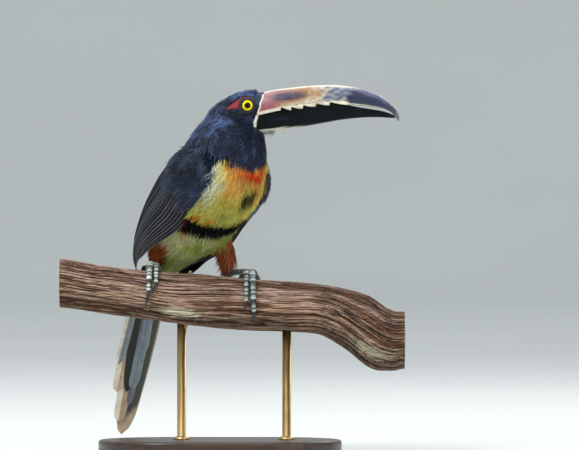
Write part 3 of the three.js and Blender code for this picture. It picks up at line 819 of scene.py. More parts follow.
def scatter(spacing_of):
    """Points over the skin about spacing_of(points) apart: their places, normals and map places."""
    count = int(SCATTER_TRIES * TRI_AREA.sum() / SPACING["face"] ** 2)
    pick = RNG.choice(len(TRI_AREA), size=count, p=TRI_AREA / TRI_AREA.sum())
    a, b = RNG.random(count), RNG.random(count)
    flip = a + b > 1
    a, b = np.where(flip, 1 - a, a), np.where(flip, 1 - b, b)
    weight = np.stack([1 - a - b, a, b], axis=1)[..., None]
    p = (TRI_P[pick] * weight).sum(1)
    spacing = spacing_of(p)
    size = spacing.max()
    keys = [tuple(k) for k in np.floor(p / size).astype(int)]
    around = [(x, y, z) for x in (-1, 0, 1) for y in (-1, 0, 1) for z in (-1, 0, 1)]
    places, apart = p.tolist(), (spacing**2).tolist()
    cells, kept = {}, []
    for i in np.nonzero(spacing > 0)[0].tolist():
        x, y, z = places[i]
        kx, ky, kz = keys[i]
        near = (j for dx, dy, dz in around for j in cells.get((kx + dx, ky + dy, kz + dz), ()))
        others = (places[j] for j in near)
        if all((q[0] - x) ** 2 + (q[1] - y) ** 2 + (q[2] - z) ** 2 >= apart[i] for q in others):
            cells.setdefault(keys[i], []).append(i)
            kept.append(i)
    normal = unit((TRI_N[pick[kept]] * weight[kept]).sum(1))
    uv = (TRI_UV[pick[kept]] * weight[kept]).sum(1)
    return p[kept], normal, uv


# ---- The coat: tufts of thin strands ----
TUFT_PATCH = 0.003  # of the map, for each tuft
STATIONS = np.array([0.0, 0.3, 0.6, 0.85])  # along a strand, of its cross-sections
STRAND_WIDTHS = np.array([0.7, 1.0, 0.85, 0.5])  # at them
RIDGE = 0.7  # how high a strand's ridge is, of half its width
COLOUR_AT = 0.8  # along a strand, the place whose marking it takes
MOST_TRIANGLES = 185000  # of a piece


def bend_to_skin(root, normal, flow, length, clear):
    """How much strands must bend down for their tips to lie clear mm off the skin."""
    tip = root + flow * length[:, None]
    ground = np.array([SKIN_TREE.find_nearest(Vector(q))[0] for q in tip])
    drop = ((tip - ground) * normal).sum(1) - clear
    return 2 * drop / length**2


def strands(tufts, colour_of, count, fan, shading=0.42, variety=0.15, clumps=0.25):
    """Verts, faces, tints and map of tufts, each a fan of count thin strands.

    tufts holds arrays with a row for each: root, normal, flow, uv, length, width, lift, bend and spread. A
    strand has a ridge and ends in a point. Its root is darker by shading, and it takes the marking that
    colour_of gives near its tip. variety is how much strands and tufts differ in tone, and clumps how much
    patches of them do.
    """
    root, normal, uv, flow = tufts["root"], tufts["normal"], tufts["uv"], tufts["flow"]
    length, width, lift, bend, spread = (tufts[k] for k in ("length", "width", "lift", "bend", "spread"))
    n = len(root)
    side = np.cross(normal, flow)
    share = (np.arange(count) + 0.5) / count * 2 - 1
    jitter = RNG.normal(size=(n, count, 5))
    turn = fan * (share[None] + 0.45 * jitter[..., 0])
    direction = flow[:, None] * np.cos(turn)[..., None] + side[:, None] * np.sin(turn)[..., None]
    across = np.cross(normal[:, None], direction)
    aside = share[None] * spread[:, None] + 0.25 * jitter[..., 1]
    start = root[:, None] + side[:, None] * aside[..., None]
    start = start + flow[:, None] * (0.15 * length[:, None] * jitter[..., 2])[..., None]
    long = length[:, None] * np.clip(1 + 0.16 * jitter[..., 3], 0.6, 1.4)
    rise = lift[:, None] * np.clip(1 + 0.45 * jitter[..., 4], 0.2, 2.0)
    t = STATIONS
    reach = long[..., None] * t
    height = rise[..., None] * (1 - (1 - t) ** 2) * long[..., None] - bend[:, None, None] * reach**2 / 2
    middle = start[:, :, None] + direction[:, :, None] * reach[..., None]
    middle = middle + normal[:, None, None] * height[..., None]
    half = 0.5 * width[:, None, None] * STRAND_WIDTHS
    left = middle + across[:, :, None] * half[..., None]
    right = middle - across[:, :, None] * half[..., None]
    ridge = middle + normal[:, None, None] * (RIDGE * half)[..., None]
    tip = start + direction * long[..., None]
    tip = tip + normal[:, None] * (rise * long - bend[:, None] * long**2 / 2)[..., None]
    body = np.stack([left, ridge, right], axis=3).reshape(n, count, -1, 3)
    verts = np.concatenate([body, tip[:, :, None]], axis=2)
    per = verts.shape[2]
    rows = len(t)
    quads = []
    for r in range(rows - 1):
        for a, b in ((0, 1), (1, 2), (2, 0)):
            quads.append([3 * r + a, 3 * r + b, 3 * r + 3 + b, 3 * r + 3 + a])
    top = 3 * (rows - 1)
    tris = [[0, 2, 1], [top, top + 1, per - 1], [top + 1, top + 2, per - 1], [top + 2, top, per - 1]]
    first = (np.arange(n * count) * per)[:, None, None]
    faces = [(np.array(quads)[None] + first).reshape(-1, 4), (np.array(tris)[None] + first).reshape(-1, 3)]
    marked = (start + direction * (COLOUR_AT * long)[..., None]).reshape(-1, 3)
    marking = colour_of(marked).reshape(n, count, 1, 3)
    levels = np.concatenate([np.repeat(t, 3), [1.0]])
    tone = (1 - shading + 1.15 * shading * levels) * (1 + variety * RNG.normal(size=(n, count, 1)))
    patches = clumps * waves(root, 4.2, 71)[:, None, None]
    tone = tone * np.clip(1 + variety * RNG.normal(size=(n, 1, 1)) + patches, 0.3, 2)
    place = np.empty((n, count, per, 2))
    place[..., 0] = uv[:, None, None, 0] + TUFT_PATCH * (0.5 * share[None, :, None])
    place[..., 0] += TUFT_PATCH / count * 0.4 * np.concatenate([np.tile([-1, 0, 1], rows), [0]])
    place[..., 1] = uv[:, None, None, 1] + TUFT_PATCH * (levels - 0.5)
    tints = (marking * tone[..., None]).reshape(-1, 3)
    return verts.reshape(-1, 3), faces, tints, np.clip(place, 0, 1).reshape(-1, 2)


def coat_pieces(name, tufts, material, slot, colour_of, count, fan, **look):
    """Pieces of tufts, each under the limit on triangles. A single value in tufts counts for them all."""
    n = len(tufts["root"])
    tufts = {k: np.asarray(v) if np.ndim(v) else np.full(n, v) for k, v in tufts.items()}
    triangles = count * (2 * 3 * (len(STATIONS) - 1) + 4)
    parts = max(1, math.ceil(n * triangles / MOST_TRIANGLES))
    order = np.argsort(tufts["root"] @ BODY_ALONG)
    for number, group in enumerate(np.array_split(order, parts)):
        some = {k: v[group] for k, v in tufts.items()}
        shape = strands(some, colour_of, count, fan, **look)
        add_piece(f"coat_{name}_{number + 1}", shape, material)


# Along the trunk: the angles, in degrees from the belly, of a wing's front and back edges.
WING_EDGES = np.array(
    [
        [-62, 97, 108], [-47, 90, 142], [-32, 82, 160], [-16, 71, 166], [0, 61, 164],
        [17, 56.5, 155], [34, 55, 142], [46, 54.5, 132], [53, 58, 126], [58, 72, 116],
    ]
)
WING_TOP = 57.0
# The left wing hangs further towards the belly: by how many degrees, along the trunk.
SLUNG = np.array([[-75, 0], [-58, 10], [-47, 19], [-34, 25], [-16, 25], [0, 22], [20, 19], [60, 19]])
STAND_OFF = 3.6  # how far the left wing's front edge stands off the belly, towards its tip


def front_angle(s, left_side):
    slung = np.where(left_side, np.interp(s, *SLUNG.T), 0)
    return np.interp(s, WING_EDGES[:, 0], WING_EDGES[:, 1]) - slung


def back_angle(s):
    return np.interp(s, WING_EDGES[:, 0], WING_EDGES[:, 2])


def in_wing(p):
    """Where the folded wings cover the body, so that it needs no feathers."""
    s, left, belly = body_coords(p)
    angle = np.degrees(np.arctan2(np.abs(left), belly))
    front = front_angle(s, left > 0) + np.where(left > 0, 1, 5)
    return (angle > front) & (angle < back_angle(s) - 8) & (s < WING_TOP - 6) & (s > -56)


def spacing_of(p):
    """How far apart tufts are rooted: closer on the head, and closest on the face. Below 0, none are."""
    s, _, _ = body_coords(p)
    x, y, z = head_coords(p)
    spacing = SPACING["body"] + (SPACING["head"] - SPACING["body"]) * smooth(54, 66, s)
    face = smooth(-36, -12, x) * smooth(-22, -14, z) * smooth(50, 60, s)
    spacing = spacing + (SPACING["face"] - spacing) * face
    bill = (x > -0.9 - 0.24 * np.clip(-4.4 - z, 0, 12)) & (z > -17.4)
    eye = (np.hypot(x - EYE[0], z - EYE[2]) < 6.4) & (np.abs(y) > 6)
    return np.where((bare_share(p) > 0.55) | in_wing(p) | bill | eye, -1, spacing)


THIGH_HANG = 1.4
HOOD_LOOK = dict(shading=0.6, variety=0.25, clumps=0.45)
MANTLE_LOOK = dict(shading=0.55, variety=0.22, clumps=0.4)
BREAST_LOOK = dict(shading=0.4, variety=0.1, clumps=0.2)
SHOULDER_LOOK = dict(shading=0.6, variety=0.22, clumps=0.5)


def build_coat():
    root, normal, uv = scatter(spacing_of)
    flow = flow_of(root, normal)
    s, left, belly = body_coords(root)
    x, _, z = head_coords(root)
    thigh = thigh_share(root) > 0.5
    face = smooth(-40, -6, x) * smooth(-26, -12, z)
    lift = np.full(len(root), 0.1)

    def chosen(which, length, width, clear, spread):
        """The tufts of some of the roots, bent to lie clear mm off the skin."""
        values = dict(root=root, normal=normal, uv=uv, flow=flow, lift=lift)
        values |= {"length": length, "width": width, "spread": spread}
        tufts = {k: v[which] if np.ndim(v) else np.full(which.sum(), v) for k, v in values.items()}
        tufts["bend"] = bend_to_skin(tufts["root"], tufts["normal"], tufts["flow"], tufts["length"], clear)
        return tufts

    dark = plumage_material("dark_plumage", 0.36, 0.4)
    silky = plumage_material("silky_plumage", 0.6, 0.08)
    # A hood feather's tip lies on the hood too, so the feathers rooted just above its edge are the bib's.
    size = 1 - 0.58 * face
    hooded = s > hood_edge(belly) + 4.5 * size
    hood = chosen(hooded, 8.4 * size, 0.72 * (1 - 0.3 * face), 0.7, 0.8 * size)
    coat_pieces("hood", hood, dark, "dark_plumage", hood_colour, 7, 0.3, **HOOD_LOOK)
    back = (frontness(root) < -1) & ~hooded & ~thigh
    mantle = chosen(back, 10.0 + 5.0 * smooth(-44, -54, s), 0.95, 0.9, 1.3)
    coat_pieces("back", mantle, dark, "dark_plumage", back_colour, 7, 0.24, **MANTLE_LOOK)
    front = ~hooded & ~back & ~thigh
    long = 10.0 + 3.5 * smooth(20, 28, np.abs(left)) * smooth(24, 40, s)
    breast = chosen(front, long, 0.46, 1.0, 1.25)
    coat_pieces("breast", breast, silky, "yellow_plumage", front_colour, 10, 0.3, **BREAST_LOOK)
    # The thighs' feathers hang, and the lowest hang past the thigh's end.
    low = smooth(162, 148, root[:, 2]) * (left > 0)
    hanging = flow - THIGH_HANG * (0.3 + low)[:, None] * UP
    flow = np.where(thigh[:, None], along_surface(hanging, normal), flow)
    lift = np.where(thigh, 0.1 + 0.4 * low, lift)
    thighs = chosen(thigh & ~hooded, 5.2 + 4.2 * low, 0.45, 0.6, 1.0 + 0.8 * low)
    coat_pieces("thighs", thighs, silky, "chestnut_plumage", thigh_colour, 9, 0.3)


build_coat()


# ---- Feathers with a shaft ----
SHAFT_HALF = 0.01  # of the half width


def vanes(feathers, columns, thick=0.25):
    """Verts, faces, tints, baking map and shaft map of feathers. Each is a dict of
    path, normal, side: its points from root to tip, and the unit vectors up and across there;
    width: half its width at them;
    tint, shaft, edges: its colours, with one edge for each side;
    rims: how far out across the vane each edge's colour starts;
    uv, patch: the middle and size of its place in the map;
    and, if need be, crown and shaft_height (how domed it is, and how proud its shaft), fade (a factor along
    it), tip and tip_from (its end's colour, and where that starts) and back (its other face's colour)."""
    all_verts, all_faces, all_tints, all_vane, all_uv = [], [], [], [], []
    first = 0
    u = np.linspace(-1, 1, columns)
    on_shaft = np.abs(u) < SHAFT_HALF
    for f in feathers:
        path, normal, side, half = f["path"], f["normal"], f["side"], f["width"]
        rows = len(path)
        crown = f.get("crown", 0.12) * half[:, None] * (1 - u[None] ** 2)
        crown = crown + f.get("shaft_height", 0.12) * on_shaft[None]
        across = half[:, None] * u[None]
        top = path[:, None] + side[:, None] * across[..., None] + normal[:, None] * crown[..., None]
        under = top - normal[:, None] * thick
        verts = np.concatenate([top.reshape(-1, 3), under.reshape(-1, 3)])
        size = rows * columns
        r = np.arange(rows - 1) * columns
        c = np.arange(columns - 1)
        d = c + (rows - 1) * columns
        last = columns - 1
        faces = [
            grid_faces(rows, columns),
            grid_faces(rows, columns, first=size)[:, ::-1],
            np.stack([r, r + columns, r + columns + size, r + size], axis=1),
            np.stack([r + last + size, r + last + columns + size, r + last + columns, r + last], axis=1),
            np.stack([c + size, c + 1 + size, c + 1, c], axis=1),
            np.stack([d, d + 1, d + 1 + size, d + size], axis=1),
        ]
        along = np.concatenate([[0], np.cumsum(np.linalg.norm(np.diff(path, axis=0), axis=1))])
        share = along / along[-1]
        tint = np.broadcast_to(f["tint"], (rows, columns, 3)) * f.get("fade", np.ones(rows))[:, None, None]
        for sign, edge, rim in zip((-1, 1), f["edges"], f["rims"]):
            full = min(rim + 0.3, max(1.0, rim + 0.01))
            rim_share = smooth(rim, full, np.abs(u)) * (u * sign > 0)
            tint = mix(tint, edge, np.broadcast_to(rim_share[None], (rows, columns)))
        tint = mix(tint, f["shaft"], 0.8 * on_shaft[None] * np.ones((rows, 1)))
        if "tip" in f:
            slant = share[:, None] + 0.05 * u[None]
            tint = mix(tint, f["tip"], smooth(f["tip_from"], f["tip_from"] + 0.06, slant))
        back = mix(tint * 0.8, f["back"], 0.9 * np.ones((rows, columns))) if "back" in f else tint * 0.8
        all_verts.append(verts)
        all_faces += [g + first for g in faces]
        all_tints.append(np.concatenate([tint.reshape(-1, 3), back.reshape(-1, 3)]))
        vane = np.stack([across, np.broadcast_to(along[:, None], (rows, columns))], axis=-1)
        all_vane.append(np.concatenate([vane.reshape(-1, 2)] * 2))
        w, h = f.get("patch", (TUFT_PATCH, TUFT_PATCH))
        x = f["uv"][0] + w * 0.5 * across / half.max()
        y = f["uv"][1] + h * (share[:, None] - 0.5) * np.ones(columns)[None]
        flat = np.stack([x, y], axis=-1).reshape(-1, 2)
        all_uv.append(np.concatenate([flat, flat]))
        first += len(verts)
    verts, tints, vane, uv = (np.concatenate(a) for a in (all_verts, all_tints, all_vane, all_uv))
    return verts, [np.concatenate(all_faces)], tints, np.clip(uv, 0, 1), vane


def leaf_width(share, half, tip, root=0.35, roundness=0.5):
    """Half widths along a feather. It starts at the share root of the full width, and is rounded off over
    the share tip of its length."""
    wide = root + (1 - root) * smooth(0, 0.35, share)
    end = np.clip((share - (1 - tip)) / tip, 0, 1)
    return half * wide * np.maximum(0.03, (1 - end**2) ** roundness)


def strip_places(feathers):
    """Gives each long feather its own strip of the map."""
    for i, f in enumerate(feathers):
        f["uv"] = ((i + 0.5) / len(feathers), 0.5)
        f["patch"] = (0.8 / len(feathers), 0.9)
    return feathers


# ---- Wings ----
SIDES = {"left": 1, "right": -1}
FACE_ROWS, FACE_COLUMNS = 64, 28
FACE_SMOOTHING = 8  # rounds
FACE_FROM, FACE_TO = -58.0, WING_TOP  # along the trunk
FAR_OUT = 90.0

WING_DARK = srgb(18, 31, 50)
# A painted sheen: a lighter blue mixed at random into the coverts and the shoulder tufts.
WING_SHEEN = srgb(64, 76, 104)
WING_GREEN = srgb(28, 37, 40)
WING_BLACK = srgb(15, 15, 19)
WING_BROWN = srgb(38, 31, 33)
WING_EDGE = srgb(158, 156, 164)
COVERT_EDGE = srgb(96, 102, 120)
BROWN_EDGE = srgb(98, 82, 84)
WING_SHAFT = srgb(14, 14, 17)


class WingFace:
    """Places and normals on the outer face of a folded wing, or of the body where the wing gives way to it.

    They go by the distance along the trunk and the share of the way from the wing's front edge to its back.
    """

    def __init__(self, side):
        self.side = side
        self.tree = node_surface("wing_" + side, "trunk", "neck")
        self.s = np.linspace(FACE_FROM, FACE_TO, FACE_ROWS)
        shares = np.linspace(0, 1, FACE_COLUMNS)
        points = np.array([[self.outermost(s, share) for share in shares] for s in self.s])
        for _ in range(FACE_SMOOTHING):
            points[1:-1] = (points[:-2] + 2 * points[1:-1] + points[2:]) / 4
            points[:, 1:-1] = (points[:, :-2] + 2 * points[:, 1:-1] + points[:, 2:]) / 4
        self.points = points
        self.normals = grid_normals(points, BODY_CENTRE + self.s[:, None, None] * BODY_ALONG)

    def outermost(self, s, share):
        """The place furthest out from the body's middle, in the direction that s and share give."""
        front = front_angle(s, self.side == "left")
        angle = math.radians(front + (back_angle(s) - front) * share)
        out = math.cos(angle) * BODY_BELLY + math.sin(angle) * SIDES[self.side] * BODY_LEFT
        middle = BODY_CENTRE + s * BODY_ALONG
        hit = self.tree.ray_cast(Vector(middle + FAR_OUT * out), Vector(-out))[0]
        place = np.array(hit if hit is not None else self.tree.find_nearest(Vector(middle + 30 * out))[0])
        off = STAND_OFF if self.side == "left" else 0.0
        return place + out * off * float(smooth(0, -25, s) * smooth(0.5, 0, share))

    def at(self, s, share, height=0.0):
        """Places at a height over the face, and its normals there."""
        s, share = np.asarray(s, dtype=float), np.asarray(share, dtype=float)
        r = (s - FACE_FROM) / (FACE_TO - FACE_FROM) * (FACE_ROWS - 1)
        c = np.clip(share * (FACE_COLUMNS - 1), -1, FACE_COLUMNS)
        i = np.clip(np.floor(r).astype(int), 0, FACE_ROWS - 2)
        j = np.clip(np.floor(c).astype(int), 0, FACE_COLUMNS - 2)
        a, b = (r - i)[..., None], (c - j)[..., None]
        out = []
        for field in (self.points, self.normals):
            low = field[i, j] * (1 - b) + field[i, j + 1] * b
            high = field[i + 1, j] * (1 - b) + field[i + 1, j + 1] * b
            out.append(low * (1 - a) + high * a)
        normal = unit(out[1])
        return out[0] + normal * np.asarray(height, dtype=float)[..., None], normal

    def feather(self, root, tip, half, rows, low, high, tip_part, bow=0.0, roundness=0.5, roll=0.0, **look):
        """A feather from root to tip, each (s, share), that rises from low to high above the face. Its roll
        lifts the edge that faces the belly."""
        t = np.linspace(0, 1, rows)
        s = root[0] + (tip[0] - root[0]) * t
        share = root[1] + (tip[1] - root[1]) * t + bow * np.sin(math.pi * t)
        path, normal = self.at(s, share, low + (high - low) * t)
        along = unit(np.gradient(path, axis=0))
        side = unit(np.cross(normal, along))
        side = math.cos(roll) * side - SIDES[self.side] * math.sin(roll) * normal
        width = leaf_width(t, half, tip=tip_part, roundness=roundness)
        look.setdefault("shaft", WING_SHAFT)
        return dict(path=path, normal=unit(np.cross(along, side)), side=side, width=width, **look)

    def outer_edge(self, edge, inner, rim, inner_rim=0.9):
        """Edge colours and rims whose first counts for the side that faces the belly."""
        if SIDES[self.side] < 0:
            return dict(edges=(inner, edge), rims=(inner_rim, rim))
        return dict(edges=(edge, inner), rims=(rim, inner_rim))


FLIGHT_FEATHERS = 24
FLIGHT_STEPS = 30  # along each
FLIGHT_ROLL = math.radians(8)
FAR_SHADE = {"left": 0.55, "right": 1.0}  # painted shade: the far, left wing is darkened
PRIMARIES = 13
LONGER = {"left": 14.0, "right": 6.5}  # how far the tips reach past the CAD wing's


def flight_feathers(face):
    """The primaries, which reach the wing's tip along its front edge, and the secondaries over them."""
    feathers = []
    for k in range(FLIGHT_FEATHERS):
        t = k / (FLIGHT_FEATHERS - 1)
        inner = max(0.0, (k - PRIMARIES + 1) / (FLIGHT_FEATHERS - PRIMARIES))
        outer = min(1.0, k / PRIMARIES)
        if k < PRIMARIES:
            tip_s = -47 - 14 * math.sin(math.pi * 0.5 * min(1, outer * 1.6)) + 16 * max(0, outer - 0.5)
            tip_share = 0.05 + 0.45 * outer
        else:
            tip_s = -45 + 30 * inner**1.2
            tip_share = 0.5 + 0.42 * inner
        tip_s -= LONGER[face.side] * (1 - inner)
        # The far, left wing's feathers are darkened by painted shade.
        tone = (1 + 0.14 * RNG.normal()) * FAR_SHADE[face.side]
        tint = mix(WING_BLACK, WING_GREEN, smooth(0.15, 0.5, t)) * tone
        edge_tone = np.clip(0.9 + 0.35 * RNG.normal(), 0.3, 1.5)
        edge = WING_EDGE * (0.7 - 0.45 * smooth(0.3, 0.75, t)) * edge_tone
        if face.side == "left":
            edge = mix(BROWN_EDGE, WING_BLACK, smooth(0.0, 0.3, t))
        feathers.append(
            face.feather(
                (34 - 10 * t, 0.04 + 0.86 * t),
                (tip_s, tip_share),
                4.0 + 1.5 * t,
                FLIGHT_STEPS,
                -1.8 + 1.5 * t,
                -1.1 + 1.4 * t,
                0.14,
                bow=-0.03,
                roll=FLIGHT_ROLL,
                tint=tint,
                shaft_height=0.15,
                crown=0.03,
                fade=0.85 + 0.3 * np.linspace(0, 1, FLIGHT_STEPS),
                **face.outer_edge(edge, tint * 1.3, 0.84),
            )
        )
    return feathers


# Rows of coverts: along the trunk, where their roots lie; length; half width; how many; the shares of the
# wing's width that the row runs between; how high it lies; and its tint and edge.
COVERT_ROWS = (
    (24.0, 17.0, 2.7, 8, 0.0, 0.42, -1.2, WING_BROWN, BROWN_EDGE),
    (35.0, 19.0, 2.9, 19, 0.0, 1.0, -0.9, WING_DARK, COVERT_EDGE),
    (42.0, 14.0, 2.4, 21, 0.0, 1.0, -0.6, WING_DARK, COVERT_EDGE),
)
COVERT_STEPS = 10


def covert_feathers(face):
    feathers = []
    for root, length, half, count, low, high, height, tint, edge in COVERT_ROWS:
        for k in range(count):
            share = low + (high - low) * (k + 0.3 + 0.4 * RNG.random()) / count
            s = root - 6.0 * (share - 0.5) ** 2 + 0.9 * RNG.normal()
            tone = 1 + 0.18 * RNG.normal()
            base = mix(tint, WING_SHEEN, 0.35 * RNG.random()) * tone
            feathers.append(
                face.feather(
                    (s, share),
                    (s - length * (1 + 0.1 * RNG.normal()), share + 0.015 * RNG.normal()),
                    half * (1 + 0.08 * RNG.normal()),
                    COVERT_STEPS,
                    height - 0.9,
                    height + 0.5,
                    0.35,
                    roundness=0.6,
                    tint=base,
                    fade=0.8 + 0.35 * np.linspace(0, 1, COVERT_STEPS),
                    shaft_height=0.16,
                    crown=0.12,
                    **face.outer_edge(edge * tone * 0.8, base * 1.2, 0.8, 0.85),
                )
            )
    for f in feathers:
        f["uv"] = skin_place(f["path"][0])
    return feathers


def wing_tuft_colour(p):
    colour = mix(WING_DARK, WING_SHEEN, np.clip(0.2 + 0.6 * waves(p, 7.0, 15), 0, 1))
    # Painted shade darkens the far, left wing's shoulder tufts.
    return colour * np.where(body_coords(p)[1] > 0, FAR_SHADE["left"], 1.0)[..., None]


LESSER_FROM = 36.0  # along the trunk, where the smallest coverts start
LESSER_STEP = (2.0, 0.048)  # apart, along the trunk and in share of the width


def lesser_coverts(face):
    """Tufts over the wing's shoulder."""
    rows, columns = np.arange(LESSER_FROM, FACE_TO, LESSER_STEP[0]), np.arange(0.0, 1.0, LESSER_STEP[1])
    s, share = np.meshgrid(rows, columns, indexing="ij")
    s = (s + RNG.normal(size=s.shape) * 0.5).ravel()
    share = np.clip(share + RNG.normal(size=share.shape) * 0.014, 0, 1).ravel()
    kept = (s < 50) | (share < 0.85)
    s, share = s[kept], share[kept]
    root, normal = face.at(s, share, -1.3)
    length = 7.0 + RNG.normal(size=len(s)) * 0.6
    flow = along_surface(face.at(s - 1.0, share)[0] - face.at(s, share)[0], normal)
    end = face.at(s - length, share, 0.1)[0]
    drop = ((root + flow * length[:, None] - end) * normal).sum(1)
    return dict(
        root=root,
        normal=normal,
        flow=flow,
        uv=np.array([skin_place(p) for p in root]),
        length=length,
        width=0.8,
        lift=0.06,
        bend=2 * drop / length**2,
        spread=1.1,
    )


def build_wings():
    long_vanes = vane_material("wing_feathers", 0.44, specular=0.17)
    short_vanes = vane_material("covert_feathers", 0.46, specular=0.2, barb=0.9)
    tufted = plumage_material("shoulder_tufts", 0.4, 0.35)
    for side in SIDES:
        face = WingFace(side)
        # What the feathers lie on: a thin dark pad a little under the wing's outer face.
        inner = (face.s > -44) & (face.s < 50)
        top = (face.points - face.normals * 3.0)[inner, 1:-1]
        under = (face.points - face.normals * 4.4)[inner, 1:-1]
        rings = np.concatenate([top, under[:, ::-1]], axis=1)
        pad = ring_surface(rings, np.broadcast_to(WING_BLACK, rings.shape))
        add_piece(f"wing_{side}_pad", pad, short_vanes, ("wing_" + side,))
        for part, feathers, material, columns in (
            ("flight", strip_places(flight_feathers(face)), long_vanes, 15),
            ("coverts", covert_feathers(face), short_vanes, 7),
        ):
            add_piece(f"wing_{side}_{part}", vanes(feathers, columns), material)
        tufts = lesser_coverts(face)
        name = "shoulder_" + side
        coat_pieces(name, tufts, tufted, "dark_plumage", wing_tuft_colour, 8, 0.16, **SHOULDER_LOOK)


build_wings()


# ---- Tail ----
TAIL_ROOT = BODY_CENTRE - 57 * BODY_AHEAD - 4 * BODY_LEFT - 50 * UP
TAIL_PITCH = math.radians(74)
TAIL_YAW = math.radians(1.4)
TAIL_ROLL = math.radians(2)  # of each feather, outwards
TAIL_LENGTH = 134.0
TAIL_LAYER = 0.85
TAIL_ROWS = 34

TAIL_OLIVE = srgb(60, 66, 58)
# Green-black for the tail feathers that lie under others, and for dark edges: partly their own colour,
# partly painted shade.
TAIL_BLACK_AND_SHADE = srgb(38, 45, 40)
TAIL_BLUE = srgb(138, 150, 166)
TAIL_GREY = srgb(132, 146, 152)
TAIL_PURPLE = srgb(126, 124, 142)
TAIL_CREAM = srgb(250, 238, 216)
TAIL_TAN = srgb(196, 172, 140)
TAIL_RUST = srgb(176, 128, 92)
TAIL_BACK = srgb(26, 34, 34)

# Each feather, seen from below: how much shorter it is than the longest; how far to the bird's left of the
# tail's middle its root and its tip lie; half its width; its layer, from the back; its tint; its edges to
# the bird's right and left; how far out they start; where its tip's tan starts, if it has one; how long its
# rounded end is.
# The green-black tints and edges stand partly for painted shade where feathers lie under others.
TAIL_FEATHERS = (
    (0, 14.0, 1.0, 9.3, 0.0, TAIL_OLIVE, TAIL_TAN, TAIL_RUST, 0.9, 0.88, 0.84, 20),
    (5, -3.0, -0.5, 7.0, 0.5, TAIL_BLACK_AND_SHADE, TAIL_TAN, TAIL_BLACK_AND_SHADE, 0.9, 2.0, 0.84, 14),
    (8, 13.0, 3.0, 8.3, 1.0, TAIL_OLIVE, TAIL_BLACK_AND_SHADE, TAIL_TAN, 2.0, 0.9, 0.9, 22),
    (11, -6.0, -5.0, 6.2, 1.5, TAIL_TAN, TAIL_CREAM, TAIL_TAN, 0.0, 0.8, None, 9),
    (24, 0.0, 1.0, 5.6, 2.0, TAIL_PURPLE, TAIL_BLACK_AND_SHADE, TAIL_GREY, 0.93, 0.9, None, 9),
    (36, -11.0, -12.6, 5.8, 2.5, TAIL_TAN, TAIL_CREAM, TAIL_RUST, 0.0, 0.8, None, 9),
    (36, -5.5, -3.0, 8.0, 3.0, TAIL_BLACK_AND_SHADE, TAIL_TAN, TAIL_BLACK_AND_SHADE, 0.9, 2.0, None, 36),
    (38, 4.5, 1.5, 6.0, 3.5, TAIL_GREY, TAIL_BLACK_AND_SHADE, TAIL_TAN, 0.95, 0.88, None, 11),
    (67, 4.0, 5.5, 5.6, 4.0, TAIL_BLUE, TAIL_BLACK_AND_SHADE, TAIL_TAN, 0.95, 0.9, None, 10),
    (60, -12.0, -17.5, 4.4, 4.5, TAIL_GREY, TAIL_CREAM, TAIL_TAN, 0.3, 0.85, None, 9),
)

# Coverts over the tail's root, on its back and on its underside: which way they face, how far off the
# tail's own plane they lie, their tint, and how long the middle ones are.
TAIL_COVERTS = ((-1, 1.6, MANTLE, 34.0), (1, 5.4, BELLY * 0.75, 26.0))
COVERTS_ACROSS = 9
TAIL_COVERT_STEPS = 12  # along each


def tail_coverts(way, left, under):
    """Two layers on each face, fanning out from the root."""
    feathers = []
    for sign, off, tint, longest in TAIL_COVERTS:
        for layer, back in ((0, -1.0), (1, 4.0)):
            for k in range(COVERTS_ACROSS):
                t = np.linspace(0, 1, TAIL_COVERT_STEPS)
                place = (k + 0.5) / COVERTS_ACROSS * 2 - 1
                length = longest * (1 - 0.25 * place**2) * (1 + 0.06 * RNG.normal()) - 6 * layer
                across = 3.5 + place * (6.5 + 5.5 * t)
                height = off + 1.6 * layer + 2.2 * (1 - t) ** 2 - 1.2 * place**2 + 0.15 * (k % 2) - 0.9 * t
                path = TAIL_ROOT + way * (length * t - back)[:, None] + left * across[:, None]
                path = path + sign * under * height[:, None]
                tone = tint * (1 + 0.16 * RNG.normal())
                feathers.append(
                    dict(
                        path=path,
                        normal=np.broadcast_to(sign * under, path.shape),
                        side=np.broadcast_to(sign * left, path.shape),
                        width=leaf_width(t, 3.8, root=0.3, tip=0.4, roundness=0.6),
                        tint=tone,
                        edges=(tone * 1.25, tone * 1.25),
                        rims=(0.75, 0.75),
                        shaft=tone * 0.6,
                        fade=0.8 + 0.3 * t,
                    )
                )
    return feathers


